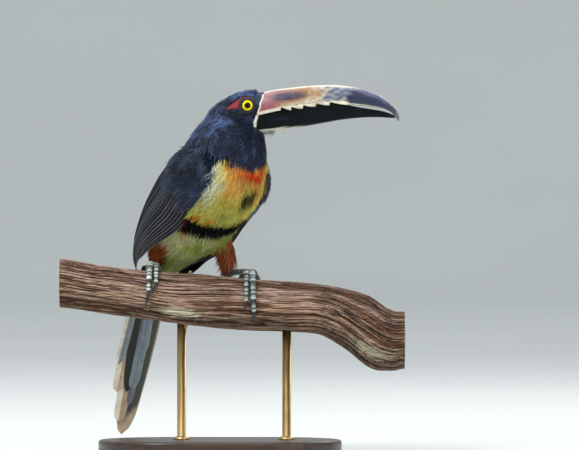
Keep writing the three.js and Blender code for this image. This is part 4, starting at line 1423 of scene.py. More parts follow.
def build_tail():
    """Ten graduated feathers, the longest pair on top. Their undersides show from in front."""
    down = -math.cos(TAIL_PITCH) * BODY_AHEAD - math.sin(TAIL_PITCH) * UP
    under = math.sin(TAIL_PITCH) * BODY_AHEAD - math.cos(TAIL_PITCH) * UP
    way = math.cos(TAIL_YAW) * down + math.sin(TAIL_YAW) * BODY_LEFT
    left = math.cos(TAIL_YAW) * BODY_LEFT - math.sin(TAIL_YAW) * down
    feathers = []
    for shorter, root, tip, half, layer, tint, right_edge, left_edge, *rims, tan, end in TAIL_FEATHERS:
        t = np.linspace(0, 1, TAIL_ROWS)
        reach = (TAIL_LENGTH - shorter) * t
        across = root + (tip - root) * t**1.6
        out = 0.4 + TAIL_LAYER * layer + 0.15 * np.sin(3 * t + layer) - 1.2 * t**2
        path = TAIL_ROOT + way * reach[:, None] + left * across[:, None] + under * out[:, None]
        roll = math.copysign(TAIL_ROLL, root) if root else -TAIL_ROLL
        side = math.cos(roll) * left - math.sin(roll) * under
        face = math.cos(roll) * under + math.sin(roll) * left
        look = dict(tip=TAIL_TAN, tip_from=tan) if tan else {}
        feathers.append(
            dict(
                path=path,
                normal=np.broadcast_to(face, path.shape),
                side=np.broadcast_to(side, path.shape),
                width=leaf_width(t, half, root=0.7, tip=end / (TAIL_LENGTH - shorter), roundness=0.5),
                tint=tint * (1 + 0.08 * RNG.normal()),
                edges=(right_edge, left_edge),
                rims=rims,
                shaft=tint * 0.6,
                back=TAIL_BACK * (1 + 0.2 * RNG.normal()),
                fade=0.9 + 0.2 * t,
                crown=0.06,
                shaft_height=0.3,
                **look,
            )
        )
    material = vane_material("tail_feathers", 0.5, barb=1.2, sheen=0.05)
    shape = vanes(strip_places(feathers), 13, thick=0.35)
    add_piece("tail_feathers", shape, material, ("tail",))
    shape = vanes(strip_places(tail_coverts(way, left, under)), 7, thick=0.3)
    add_piece("tail_coverts", shape, material)


build_tail()


# ---- Bill ----
# Lines of the bill from its base to its tip: distance ahead of its root and height over it.
CULMEN = (
    (1, 13.4), (13.3, 16.1), (25.1, 17.5), (38, 18.9), (53.2, 19.6), (66, 19.1), (77.5, 17.4),
    (89.3, 13.6), (97.1, 9.7), (103.4, 4.2), (107.3, -0.1), (109.4, -4.6), (109.3, -8.4),
)
TOMIUM = (
    (1, -3.8), (18, -0.2), (26, 0), (35, 1.1), (45, 2.7), (56, 3.7),
    (69.5, 4.1), (81.4, 3.4), (92.3, 2.1), (99.6, 0.2), (105, -3.3), (108.9, -8.9),
)
LOWER_EDGE = (
    (1, -4.4), (10, -1.6), (18, 1.4), (26, 2.6), (38, 4.2), (49.3, 5.6), (58, 6.0), (66, 5.0),
    (72, 3.5), (81.4, 1.8), (92.3, 0.1), (99.6, -1.6), (104.5, -3.5), (107, -4.6),
)
GONYS = (
    (1, -18.2), (16.4, -15.9), (29, -13.6), (40.7, -11.7), (53.2, -9.4), (65, -7.4),
    (80.6, -5.8), (93.2, -5.5), (101, -5.9), (106.8, -6),
)
BILL_HALF_WIDTH = 13.0
LOWER_SHARE = 0.9  # of the upper bill's width
TEETH = (18, 26, 35.2, 45, 55.8, 69.7)  # where each tooth of the upper bill ends
TEETH_FROM = 9.0
TOOTH_DEPTH = 2.9
# The raised line round each mandible's base: how far ahead its profile is, and how proud.
UPPER_RIM = ((-0.5, 0.0), (-0.4, 0.35), (0.0, 0.55), (0.5, 0.5), (0.85, 0.25), (0.95, -0.2))
LOWER_RIM = ((-1.7, 0.0), (-1.6, 0.6), (-1.1, 1.0), (-0.2, 0.95), (0.5, 0.5), (0.8, -0.3))
RIM_SLANT = 0.24  # how far back the lower bill's base runs as it goes down
BROW_SLANT = 0.26  # and how far ahead the upper's runs as it goes up, to the forehead feathers' edge

IVORY = srgb(232, 226, 206)
BILL_CREAM = srgb(206, 196, 170)
BILL_PINK = srgb(154, 98, 108)
BILL_RED = srgb(148, 66, 70)
BILL_PURPLE = srgb(52, 46, 80)
BILL_BROWN = srgb(140, 88, 44)
BILL_ORANGE = srgb(184, 136, 78)
BILL_GREY = srgb(108, 116, 138)
BILL_SLATE = srgb(36, 43, 70)
# A painted highlight along the ridge of the slate tip.
BILL_LILAC_HIGHLIGHT = srgb(112, 112, 142)
BILL_TIP = srgb(120, 120, 136)
BILL_BLACK = srgb(3, 8, 11)


def bill_section(ridge, edge, share, steps, arc):
    """Points of one mandible in the head's frame: steps sections of arc points each, over its ridge from
    edge to edge. With them, how far up from the edge to the ridge they lie."""
    t = np.linspace(0, 1, steps) ** 0.9
    top = run_values(ridge, t * (len(ridge) - 1))
    low = run_values(edge, t * (len(edge) - 1))
    wide = share * (0.5 + BILL_HALF_WIDTH * (1 - t) ** 0.72 * (1 - 0.12 * t))
    angle = np.linspace(0, math.pi, arc)
    rise = np.sin(angle) ** 0.8
    over = np.sign(np.cos(angle)) * np.abs(np.cos(angle)) ** 0.75
    x = low[:, :1] * (1 - rise) + top[:, :1] * rise
    z = low[:, 1:] * (1 - rise) + top[:, 1:] * rise
    y = wide[:, None] * over
    return x, y, z, np.broadcast_to(rise, x.shape)


def tooth_notch(x):
    """From 1 in the notch behind a tooth, falling forward to 0 at its tip."""
    notch = np.zeros_like(x)
    start = TEETH_FROM
    for end in TEETH:
        inside = (x >= start) & (x < end)
        notch = np.where(inside, np.clip((end - x) / (end - start), 0, 1) ** 1.7, notch)
        start = end
    return notch * smooth(12, 20, x)


def grained(p, stretch, scale, seed):
    """Waves drawn out along the bill, the more so the smaller stretch is."""
    return waves(p * np.array([stretch, 1, 1]), scale, seed)


def upper_bill_colour(x, y, z, rise):
    """Pink and cream at the base, then brown and orange under a purple smudge, mottled grey, and slate to
    the tip, with an ivory ridge, teeth and lower edge. rise is 0 at the edge and 1 on the ridge."""
    p = np.stack([x, y, z], axis=-1)
    n, fine, tiny = waves(p, 7.0, 21), grained(p, 0.45, 2.2, 22), grained(p, 0.6, 1.1, 24)
    warp = x + 4 * n + 1.5 * fine
    brown = smooth(0.45, 0.62, rise + 0.03 * fine) * smooth(0.93, 0.88, rise) * smooth(52, 34, warp)
    low_red = smooth(0.6, 0.25, rise) * smooth(17, 6, x + 2 * n)
    shade = peak(24, 19, x - 2 * n) * peak(0.6, 0.3, rise)
    smudge = peak(22, 12.5, x - 2 * n) * peak(0.62, 0.2, rise - 0.04 * fine)
    grey = smooth(41, 56, x + 2.5 * n + 2.5 * fine + 3.0 * tiny) * smooth(0.14, 0.34, rise + 0.08 * fine)
    mottle = smooth(-0.2, 0.7, 0.5 * fine + 0.9 * tiny) * smooth(44, 56, x) * smooth(0.16, 0.3, rise)
    colour = layered(
        BILL_CREAM,
        (BILL_ORANGE, smooth(56, 40, warp + 26 * np.abs(rise - 0.72))),
        (BILL_BROWN, 0.75 * brown),
        (BILL_CREAM, 0.6 * smooth(0.5, 0.3, rise) * smooth(16, 26, x)),
        (BILL_PINK, smooth(25, 13, x + 2.5 * n + 8 * (0.5 - rise))),
        (BILL_RED, 0.75 * low_red),
        (BILL_BROWN * 0.75, np.clip(1.3 * shade - 0.3, 0, 0.8)),
        (BILL_PURPLE, np.clip(1.7 * smudge * (1 + 0.35 * fine) - 0.25, 0, 0.92)),
        (BILL_GREY, np.clip(0.9 * grey * (1 + 0.25 * tiny), 0, 0.95)),
        (BILL_SLATE * 2.4, 0.4 * mottle),
    )
    pores = smooth(0.25, 0.7, tiny + 0.3 * fine) * smooth(10, 24, x)
    colour = colour * (1 - 0.22 * pores[..., None])
    streak = smooth(0.3, 0.8, grained(p, 0.35, 1.4, 23)) * between(12, 30, 44, 60, x)
    slate = smooth(67.5, 71.5, x + 1.6 * n + 1.2 * fine - 9 * smooth(0.75, 0.95, rise))
    slate = slate * smooth(0.04, 0.16, rise)
    # Painted highlight: lilac along the top of the slate part.
    crest = smooth(0.72, 0.9, rise + 0.04 * fine) * between(62, 76, 96, 104, x)
    ridge = smooth(0.915, 0.955, rise + 0.008 * n) * smooth(84, 60, x)
    upper = smooth(0.86, 0.95, rise + 0.03 * fine) * between(38, 54, 64, 82, x)
    tooth_top = 0.19 - 0.12 * tooth_notch(x)
    teeth = smooth(tooth_top + 0.03, tooth_top, rise) * between(16, 19, 69.5, 70.5, x)
    line = peak(tooth_top + 0.035, 0.018, rise) * between(16, 19, 69.5, 71, x)
    return layered(
        colour,
        (BILL_CREAM, 0.35 * streak),
        (BILL_SLATE, slate),
        (BILL_LILAC_HIGHLIGHT, 0.7 * crest),
        (IVORY, 0.95 * ridge),
        (IVORY, 0.45 * upper * (1 - 0.5 * smooth(0.0, 0.5, tiny))),
        (BILL_TIP, 0.8 * smooth(105.5, 108.5, x + 0.8 * n)),
        (IVORY, 0.9 * smooth(0.17, 0.1, rise) * smooth(19, 17, x)),
        (mix(IVORY, BILL_CREAM, np.clip(0.5 + fine, 0, 1)), 0.92 * teeth),
        (BILL_BLACK, 0.45 * line),
        (BILL_BLACK, 0.85 * smooth(0.05, 0.02, rise) * smooth(70, 73, x)),
        (IVORY, 0.7 * peak(0.07, 0.025, rise) * between(69, 71, 78, 88, x)),
    )


def lower_bill_colour(x, y, z, rise):
    """Black, lightly scratched, with an ivory keel at the base."""
    p = np.stack([x, y, z], axis=-1)
    n = waves(p, 8.0, 31)
    scratch = smooth(0.55, 0.95, grained(p, 0.2, 1.3, 33))
    keel = smooth(0.79, 0.84, rise + 0.01 * n + 0.003 * (6 - x)) * smooth(26, 17, x)
    fades = smooth(0.9, 0.97, rise) * smooth(38, 24, x)
    return layered(
        BILL_BLACK,
        (BILL_BLACK * 2.6, np.clip(0.3 + 0.5 * n, 0, 1) * 0.7),
        (BILL_SLATE, 0.35 * scratch),
        (IVORY * 0.85, 0.95 * np.maximum(keel, fades)),
    )


def lower_line(z):
    """How far ahead of the bill's root the lower bill's base lies at a height."""
    return -RIM_SLANT * np.clip(-4.4 - z, 0, 12)


def brow_line(z):
    """How far ahead of the bill's root the forehead feathers reach at a height."""
    return BROW_SLANT * np.clip(z + 3.8, 0, 18)


def rim_part(ridge, edge, share, profile, slant):
    """The raised ivory line round the base of a mandible. slant gives how far it shifts with its height."""
    x, y, z, _ = bill_section(ridge, edge, share, 4, 65)
    ring = np.stack([x[0], y[0], z[0]], axis=1)
    centre = ring.mean(0)
    rings = []
    for ahead, proud in profile:
        moved = ring + unit(ring - centre) * proud
        moved[:, 0] = ahead + 0.25 * np.sin(0.9 * moved[:, 2]) + slant(moved[:, 2])
        rings.append(from_head(*moved.T))
    rings = np.array(rings)
    if ridge[0][1] < edge[0][1]:
        rings = rings[:, ::-1]
    tone = 1 + 0.16 * waves(rings, 2.5, 41)[..., None]
    return ring_surface(rings, IVORY * 0.92 * tone)


def base_tufts(x, y, z, where, spacing, length, width, lift):
    """Small feathers rooted on places of a mandible's base, lying back from it."""
    p = from_head(x, y, z)
    places, normals = p[where], grid_normals(p, p.mean(1, keepdims=True))[where]
    kept = []
    for i in RNG.permutation(len(places)):
        if all(np.linalg.norm(places[i] - places[j]) > spacing for j in kept):
            kept.append(i)
    places, normals = places[kept], normals[kept]
    return dict(
        root=places - 0.2 * normals,
        normal=normals,
        flow=along_surface(-HEAD_AHEAD + 0.12 * RNG.normal(size=(len(kept), 3)), normals),
        uv=np.array([skin_place(q) for q in places]),
        length=length,
        width=width,
        lift=lift,
        bend=0.02,
        spread=0.6,
    )


def build_bill():
    horn = horn_material("bill_horn", 0.34)
    x, y, z, rise = bill_section(CULMEN, TOMIUM, 1.0, 420, 81)
    tint = upper_bill_colour(x, y, z, rise)
    z = z + TOOTH_DEPTH * tooth_notch(x) * smooth(0.3, 0.0, rise)
    tint = mix(tint, DARK_HOOD, smooth(0.3, -0.3, x - brow_line(z)))
    # A shallow groove runs along each side below the ridge.
    y = y * (1 - 0.03 * peak(0.87, 0.05, rise))
    body = ring_surface(from_head(x, y, z), tint)
    shape = join_parts([body, rim_part(CULMEN, TOMIUM, 1.0, UPPER_RIM, brow_line)])
    add_piece("bill_upper_horn", shape, horn, ("bill_upper",))
    feathered = plumage_material("brow", 0.36, 0.4)
    brow = base_tufts(x, y, z, (x < brow_line(z) - 0.5) & (z > 1.0), 1.1, 4.6, 0.5, 0.08)
    coat_pieces("brow", brow, feathered, "dark_plumage", hood_colour, 7, 0.35, **HOOD_LOOK)
    x, y, z, rise = bill_section(GONYS, LOWER_EDGE, LOWER_SHARE, 300, 65)
    tint = lower_bill_colour(x, y, z, rise)
    x = x + lower_line(z) * smooth(12, 1, x)
    chin = base_tufts(x, y, z, (x > 1.0) & (x < 13) & (rise > 0.93), 2.2, 3.6, 0.3, 0.7)
    coat_pieces("chin", chin, feathered, "dark_plumage", hood_colour, 5, 0.5, **HOOD_LOOK)
    body = ring_surface(from_head(x, y, z)[:, ::-1], tint[:, ::-1])
    shape = join_parts([body, rim_part(GONYS, LOWER_EDGE, LOWER_SHARE, LOWER_RIM, lower_line)])
    dark = horn_material("lower_bill_horn", 0.36, streak=0.2, coat=0.0, specular=0.12)
    add_piece("bill_lower_horn", shape, dark, ("bill_lower",))


build_bill()


# ---- Eyes ----
EYE_RADIUS = 5.2
PUPIL_HALF_ANGLE = math.asin(2.35 / EYE_RADIUS)
IRIS_HALF_ANGLE = math.asin(4.15 / EYE_RADIUS)
CORNEA = 0.3  # how far the eyeball bulges over the pupil
LID_FROM = EYE_RADIUS * math.cos(IRIS_HALF_ANGLE)
# The lids' cross-section: how far from the eye's axis, and how far out from LID_FROM.
LID_PROFILE = (
    (4.05, -0.5), (4.12, 0.25), (4.35, 0.6), (4.75, 0.62), (5.1, 0.35),
    (5.35, -0.1), (5.6, -0.02), (5.9, -0.35), (6.5, -1.3), (5.0, -1.8),
)
IRIS = srgb(250, 226, 14)
IRIS_DARK = srgb(176, 132, 8)
PUPIL = srgb(14, 10, 10)
LID = srgb(34, 34, 42)
LID_PALE = srgb(112, 112, 116)


def eye_frame(side):
    """An eye's centre, the way it looks, and two directions across that."""
    centre = from_head(EYE[0], side * EYE[1], EYE[2])
    gaze = unit(side * HEAD_LEFT + 0.1 * HEAD_AHEAD)
    up = unit(UP - (UP @ gaze) * gaze)
    return centre, gaze, np.cross(up, gaze), up


def eyeball(centre, gaze, over, up):
    polar = np.linspace(0.0, math.pi, 49)[1:-1]
    around = circle(64)
    radius = EYE_RADIUS + CORNEA * smooth(PUPIL_HALF_ANGLE * 1.3, 0, polar)
    ring = np.cos(around)[:, None] * over + np.sin(around)[:, None] * up
    outward = np.cos(polar)[:, None, None] * gaze + np.sin(polar)[:, None, None] * ring[None]
    ragged = polar[:, None] + 0.012 * np.sin(9 * around)[None]
    colour = layered(
        PUPIL,
        (IRIS_DARK, smooth(PUPIL_HALF_ANGLE - 0.03, PUPIL_HALF_ANGLE + 0.015, ragged)),
        (IRIS, smooth(PUPIL_HALF_ANGLE + 0.01, PUPIL_HALF_ANGLE + 0.09, ragged)),
        (IRIS_DARK * 0.7, smooth(IRIS_HALF_ANGLE - 0.06, IRIS_HALF_ANGLE + 0.05, ragged)),
        (PUPIL, smooth(IRIS_HALF_ANGLE + 0.05, IRIS_HALF_ANGLE + 0.15, ragged)),
    )
    return centre + radius[:, None, None] * outward, colour


def eyelids(centre, gaze, over, up):
    """A soft dark ring of skin, with a paler thin rim outside it."""
    profile = run_values(LID_PROFILE, np.linspace(0, len(LID_PROFILE) - 1, 46))
    spin = circle(120)
    ring = np.cos(spin)[:, None] * over + np.sin(spin)[:, None] * up
    wrinkle = 1 + 0.005 * np.sin(23 * spin) + 0.006 * np.sin(41 * spin + 1)
    rings = centre + (profile[:, 0, None] * wrinkle)[..., None] * ring[None]
    rings = rings + (LID_FROM + profile[:, 1, None, None]) * gaze
    rim = peak(0.66, 0.05, np.linspace(0, 1, len(profile)))
    pale = np.clip(rim[:, None] * (0.6 + 0.12 * np.sin(31 * spin))[None], 0, 1)
    return rings, mix(np.broadcast_to(LID, rings.shape), LID_PALE, pale)


def build_eyes():
    wet = eye_material()
    lids = skin_material()
    for name, side in SIDES.items():
        directions = eye_frame(side)
        rings, colour = eyeball(*directions)
        if side < 0:
            rings, colour = rings[:, ::-1], colour[:, ::-1]
        add_piece("eyeball_" + name, ring_surface(rings, colour), wet, ("eye_" + name,))
        rings, colour = eyelids(*directions)
        count, columns = rings.shape[:2]
        closed = np.concatenate([np.arange(count), [0]])[:, None] * columns + np.arange(columns)
        faces = closed.ravel()[grid_faces(count + 1, columns, closed=True)]
        shape = rings.reshape(-1, 3), [faces[:, ::-1] if side > 0 else faces], colour.reshape(-1, 3)
        add_piece("lids_" + name, shape, lids)


build_eyes()


# ---- Perch ----
# Stations: x, height of the axis, half height.
PERCH = np.array(
    [
        [-125, 132.6, 18.7], [-94, 128.7, 18.3], [-55, 124, 18.7], [-15.6, 119.7, 19.9], [23, 116.4, 19.7],
        [55, 114.3, 19.1], [78, 112, 19.3], [97.5, 105.3, 23], [117, 95.5, 27.7], [133, 89.3, 23.8],
        [144, 89.3, 22.2],
    ]
)
PERCH_DEPTH = 0.97  # of its height
PERCH_ROWS, PERCH_COLUMNS = 270, 420
# Broken-off twigs: where they leave the branch, the way they run and their radius.
KNOBS = (
    ((-23.6, -1.0, 140.2), (1.0, -0.4, 3.6), 1.9),
    ((-26.4, -3.0, 101.4), (-1.0, -0.6, -5.6), 1.7),
)
WOOD = srgb(180, 148, 124)
WOOD_PINK = srgb(172, 144, 142)
WOOD_DARK = srgb(40, 28, 22)
WOOD_PALE = srgb(196, 186, 160)
WOOD_BROWN = srgb(112, 78, 56)


def perch_at(x):
    """The height of the perch's axis, and its half height there."""
    u = np.interp(x, PERCH[:, 0], np.arange(len(PERCH)))
    return run_values(PERCH[:, 1:], u)


def ridged(p, scale, seed):
    """Sharp-crested ridges from 0 to 1."""
    return 1 - np.abs(waves(p, scale, seed, 3))


def build_bark():
    """The branch's rings of points and their tints."""
    x = np.linspace(PERCH[0, 0], PERCH[-1, 0], PERCH_ROWS)
    z, r = perch_at(x).T
    angle = circle(PERCH_COLUMNS)
    sin, cos = np.sin(angle), np.cos(angle)
    # Grain in a frame that is long along the branch: its crests wander slowly round it.
    twist = angle + 0.12 * np.sin(x / 38)[:, None] + 0.05 * np.sin(x / 13 + 1)[:, None]
    long = np.broadcast_to(x[:, None] * 0.03, twist.shape)
    flat = np.stack([np.cos(twist) * 20, np.sin(twist) * 20, long], axis=-1)
    coarse = ridged(flat, 3.4, 51)
    medium = ridged(flat * np.array([1, 1, 1.6]), 1.0, 52)
    fine = waves(flat * np.array([1, 1, 2.2]), 0.45, 53)
    crack = smooth(0.86, 0.99, ridged(flat * np.array([1, 1, 0.8]), 2.1, 54))
    furrow = 0.45 * np.sin(3 * angle + x[:, None] / 31) + 0.35 * np.sin(5 * angle - x[:, None] / 17)
    radius = r[:, None] + furrow + 0.75 * (coarse - 0.5) + 0.42 * (medium - 0.5) + 0.14 * fine - 0.8 * crack
    across = np.broadcast_to(x[:, None], radius.shape)
    rings = np.stack([across, -PERCH_DEPTH * radius * sin, z[:, None] + radius * cos], axis=-1)
    crest = np.clip(0.5 + 0.5 * (coarse - 0.5) + 0.5 * (medium - 0.5), 0, 1)
    dark = np.clip(1.1 * crack + 0.65 * smooth(0.25, -0.35, medium - 0.5 + 0.4 * fine), 0, 0.95)
    tint = layered(
        WOOD_BROWN,
        (WOOD, smooth(0.3, 0.7, crest)),
        (WOOD_PINK, 0.55 * smooth(-0.2, 0.8, cos)[None] * smooth(0.35, 0.8, crest)),
        (WOOD_DARK, dark),
    )
    tint = tint * (1 - 0.22 * smooth(40, 90, x))[:, None, None]
    # Painted light and shade round the branch: its sides a little lighter than its top, its underside much
    # darker, as if in shadow.
    tint = tint * (1 + 0.1 * smooth(0.9, 0.3, cos) - 0.45 * smooth(-0.15, -0.75, cos))[None, :, None]
    # Where the bark is gone: a patch low on the front, and one under the end's bulge.
    patch = peak(-32, 18, x)[:, None] * peak(2.16, 0.25, angle)[None]
    under = peak(118, 20, x)[:, None] * peak(2.15, 0.26, angle)[None]
    fleck = waves(flat * np.array([1, 1, 3.0]), 0.5, 55)
    pale = 0.9 * smooth(0.3, 0.7, np.maximum(patch, 0.8 * under) + 0.35 * fleck)
    return rings, mix(tint, WOOD_PALE, pale)


def sawn_end(ring, sign):
    """Growth rings round a pith that lies off centre, on the end that faces sign along x."""
    pith = ring.mean(0) + np.array([0, 2.0, 1.5])
    shares = np.linspace(1, 0.02, 60)
    disc = pith + (ring - pith)[None] * shares[:, None, None]
    disc[..., 0] += sign * (0.35 * (1 - shares) ** 0.3)[:, None]
    grown = 0.5 + 0.5 * np.sin(shares[:, None] * 68 + 2.0 * waves(disc, 9.0, 61))
    tone = mix(WOOD_PALE * 0.62, WOOD_BROWN * 0.9, 0.6 * grown + 0.2 * (1 - shares)[:, None])
    tone = mix(tone, WOOD_DARK, smooth(0.93, 1.0, shares)[:, None] * np.ones(PERCH_COLUMNS))
    verts, faces, tints = ring_surface(disc, tone)
    if sign < 0:
        faces = [f[:, ::-1] for f in faces]
    return verts, faces[:1] + [faces[1][PERCH_COLUMNS:]], tints


def build_perch():
    rings, tint = build_bark()
    verts, faces, tints = ring_surface(rings, tint)
    parts = [(verts, faces[:1], tints)]
    for place, way, size in KNOBS:
        t = np.linspace(0, 1, 12)
        centres = np.array(place) + np.outer(t - 0.3, way)
        radius = size * (1 - 0.5 * t**2) * (1 + 0.1 * np.sin(7 * t))
        tone = np.broadcast_to(mix(WOOD_BROWN, WOOD, t)[:, None], (12, 18, 3))
        parts.append(tube(centres, radius, 18, np.array([0.0, 1.0, 0.0]), tone))
    add_piece("branch", join_parts(parts), branch_material(), ("perch",))
    ends = join_parts([sawn_end(rings[0], -1), sawn_end(rings[-1], 1)])
    add_piece("branch_ends", ends, saw_cut_material())


build_perch()


# ---- Feet ----
# For each leg: where along the branch its foot is, how many degrees ahead of the top, its heel, its side.
LEGS = {
    "left": {"foot": 23.3, "ahead": 4, "heel": (5.8, 25, 139.6), "side": 1},
    "right": {"foot": -52.4, "ahead": -18, "heel": (-51, 27.6, 143.2), "side": -1},
}
# For each toe: the degrees round the branch where it starts and ends, how far outwards it starts and then
# goes, its thickness at both ends, and how long its claw is.
TOES = {
    1: {"from": -4, "reach": -58, "out": -7, "root": -3.2, "thick": 2.5, "thin": 1.5, "claw": 7},
    2: {"from": 4, "reach": 78, "out": -0.1, "root": -2.6, "thick": 2.5, "thin": 1.6, "claw": 8},
    3: {"from": 4, "reach": 100, "out": 1.6, "root": 1.6, "thick": 2.9, "thin": 1.8, "claw": 11},
    4: {"from": -4, "reach": -84, "out": 7, "root": 2.6, "thick": 2.7, "thin": 1.6, "claw": 9},
}
CLAW_DRIFT = -3.2  # how far the front claws lean along the branch
TOE_LIFT = 0.4  # off the branch's mean surface
LIMB_SIDES, TOE_STEPS = 22, 64
CLAW_SIDES, CLAW_STEPS = 16, 24
SCUTE = srgb(98, 110, 102)
# Each scute's pale end: partly its own colour, partly a painted highlight on its raised edge.
SCUTE_PALE_AND_HIGHLIGHT = srgb(190, 200, 200)
SCUTE_DARK = srgb(22, 30, 28)
CLAW_HORN = srgb(20, 24, 29)
FOOT_LIGHT_AND_SHADE = {"left": 0.84, "right": np.array([1.32, 1.3, 1.24])}  # painted light and shade: the right foot lighter, the left darker, as the light falls


def on_perch(x, degrees, above):
    """Places above the branch's mean surface, degrees round it from the top towards the front."""
    z, r = perch_at(x).T
    angle = np.radians(degrees)
    y = -(PERCH_DEPTH * r + above) * np.sin(angle)
    return np.stack([x + 0 * angle, y, z + (r + above) * np.cos(angle)], axis=-1)


def scaly_tube(centres, radius, outward, scutes):
    """A limb whose front (outward) carries overlapping scutes, with finer scales behind."""
    rows = len(centres)
    t = np.linspace(0, 1, rows)
    phase = (t * scutes + 0.25 * np.sin(2.3 * t * scutes + scutes)) % 1.0
    angle = circle(LIMB_SIDES)
    front = smooth(-0.5, 0.6, np.sin(angle))[None]
    scute = 0.11 * phase[:, None] ** 1.5 * front
    scales = 0.025 * np.sin(7 * angle + 9 * t[:, None]) * (1 - front)
    gap = peak(0, 0.3, phase) + peak(1, 0.06, phase)
    flank = smooth(0.5, 0.95, np.abs(np.cos(angle)))[None]
    tone = layered(
        SCUTE,
        # Pale scute ends: partly their own colour, partly painted highlight.
        (SCUTE_PALE_AND_HIGHLIGHT, smooth(0.3, 0.8, phase)[:, None] * front * 0.9),
        (SCUTE_DARK, np.clip(gap[:, None] * (0.5 + 0.45 * front) + 0.35 * flank, 0, 0.95)),
    )
    tone = tone * (1 + 0.1 * RNG.normal(size=(rows, 1, 1)))
    return tube(centres, radius[:, None] * (0.95 + scute + scales), LIMB_SIDES, outward, tone)


def toe_path(leg, toe):
    """A toe's centres and radii, three joints long, arched at its root."""
    t = np.linspace(0, 1, TOE_STEPS)
    joints = np.cos(2 * math.pi * 3 * t)
    radius = (toe["thick"] + (toe["thin"] - toe["thick"]) * t) * (0.96 + 0.09 * joints)
    x = leg["foot"] + leg["side"] * (toe["root"] + toe["out"] * t**0.8)
    degrees = leg["ahead"] + toe["from"] + (toe["reach"] - toe["from"]) * t
    hump = 2.2 * (1 - t) ** 2.5
    return on_perch(x, degrees, radius + TOE_LIFT + hump), radius


def claw_path(leg, toe):
    """A claw's centres and radii, from inside its toe's end."""
    _, r = perch_at(leg["foot"])
    sign = math.copysign(1, toe["reach"])
    sweep = math.degrees(toe["claw"] / r) * sign
    t = np.linspace(0, 1, CLAW_STEPS)
    drift = CLAW_DRIFT if toe["reach"] > 0 else 0
    x = leg["foot"] + leg["side"] * (toe["root"] + toe["out"]) + drift * t * t
    radius = toe["thin"] * 0.95 * (1 - 0.88 * t**1.5)
    degrees = leg["ahead"] + toe["reach"] - 2.5 * sign + (sweep + 4 * sign) * t
    above = toe["thin"] * (1 - t) + radius * t + TOE_LIFT + 1.5 * np.sin(math.pi * t)
    return on_perch(x, degrees, above), radius


def build_leg(leg):
    """The scaly parts of a leg, and its claws."""
    heel = np.array(leg["heel"], dtype=float)
    foot = on_perch(np.array(leg["foot"]), leg["ahead"], 4.8)
    t = np.linspace(-0.12, 1.04, 40)
    lift = 1.6 * np.sin(math.pi * np.clip(t, 0, 1))
    centres = heel + (foot - heel) * t[:, None] + UP * lift[:, None]
    radius = 2.45 + 0.75 * peak(0, 0.16, t) + 0.9 * smooth(0.7, 1.0, t)
    parts = [scaly_tube(centres, radius, UP, 9)]
    # The knuckle where the toes meet.
    spread = np.linspace(-1, 1, 24)
    along = foot + np.outer(spread * 3.4, [1.0, 0.0, 0.0]) - UP * 0.6
    parts.append(scaly_tube(along, 3.3 * np.sqrt(np.clip(1.02 - spread**2, 0.02, 1)), UP, 4))
    tone = mix(CLAW_HORN, SCUTE_DARK * 1.2, smooth(0.25, 0.0, np.linspace(0, 1, CLAW_STEPS)))
    tone = np.broadcast_to(tone[:, None], (CLAW_STEPS, CLAW_SIDES, 3))
    narrow = 1 - 0.18 * np.abs(np.cos(circle(CLAW_SIDES)))
    claws = []
    for number, toe in TOES.items():
        path, radius = toe_path(leg, toe)
        middle = path[len(path) // 2]
        outward = unit(middle - [middle[0], 0, perch_at(leg["foot"])[0]])
        parts.append(scaly_tube(path, radius, outward, 7 + number % 2))
        path, radius = claw_path(leg, toe)
        claws.append(tube(path, radius[:, None] * narrow, CLAW_SIDES, outward, tone))
    return join_parts(parts), join_parts(claws)


def build_feet():
    scutes, horn = scale_material(), horn_material("claw_horn", 0.3, streak=0.25, coat=0.4)
    for name, leg in LEGS.items():
        (verts, faces, tints), claws = build_leg(leg)
        nodes = ["tarsus_" + name] + [f"toe_{name}_{number}" for number in TOES]
        # Each foot's tints are lightened or darkened by painted light and shade.
        add_piece("foot_" + name, (verts, faces, tints * FOOT_LIGHT_AND_SHADE[name]), scutes, nodes)
        add_piece("claws_" + name, claws, horn, [f"claw_{name}_{number}" for number in TOES])


build_feet()


# ---- Stand ----
BASE = {"length": 190.0, "depth": 120.0, "height": 11.0, "bevel": 2.5}
BASE_SIDES = 160
ROD_RADIUS = 3.5
ROD_PLACES = (-30.0, 52.0)
ROD_IN = 1.6  # how far a rod runs into the branch
# A collar at each rod's foot: how high over the base, and how much wider than the rod.
COLLAR_PROFILE = ((-0.2, 2.6), (0.3, 3.0), (2.0, 2.4), (2.6, 0.3), (2.7, 0.0))


def stadium(inset, z):
    """The base's outline, drawn in by inset, at height z."""
    radius = BASE["depth"] / 2 - inset
    half = (BASE["length"] - BASE["depth"]) / 2
    angle = circle(BASE_SIDES) + math.pi / BASE_SIDES
    x = np.cos(angle) * radius + half * np.sign(np.cos(angle))
    return np.stack([x, np.sin(angle) * radius, np.full(BASE_SIDES, z)], axis=1)


def build_stand():
    bevel, height = BASE["bevel"], BASE["height"]
    profile = [(0.6, 0.0), (0.0, 0.6), (0.0, height - bevel)]
    for a in np.linspace(0, math.pi / 2, 7)[1:]:
        profile.append((bevel * (1 - math.cos(a)), height - bevel * (1 - math.sin(a))))
    profile += [(bevel + 0.6, height), (bevel + 20, height), (bevel + 45, height)]
    rings = np.array([stadium(inset, z) for inset, z in profile])
    add_piece("base_block", ring_surface(rings), walnut_material(), ("stand_base",))
    brass = brass_material()
    angle = circle(48)
    ring = np.stack([np.cos(angle), np.sin(angle), 0 * angle], axis=1)
    for number, x in enumerate(ROD_PLACES, 1):
        z, r = perch_at(x)
        heights, wider = np.array([*COLLAR_PROFILE, (z - r + ROD_IN - height, 0.0)]).T
        centres = np.stack([np.full(len(heights), x), 0 * heights, height + heights], axis=1)
        rings = centres[:, None] + (ROD_RADIUS + wider)[:, None, None] * ring[None]
        add_piece(f"rod_{number}", ring_surface(rings), brass, (f"stand_rod_{number}",))


build_stand()


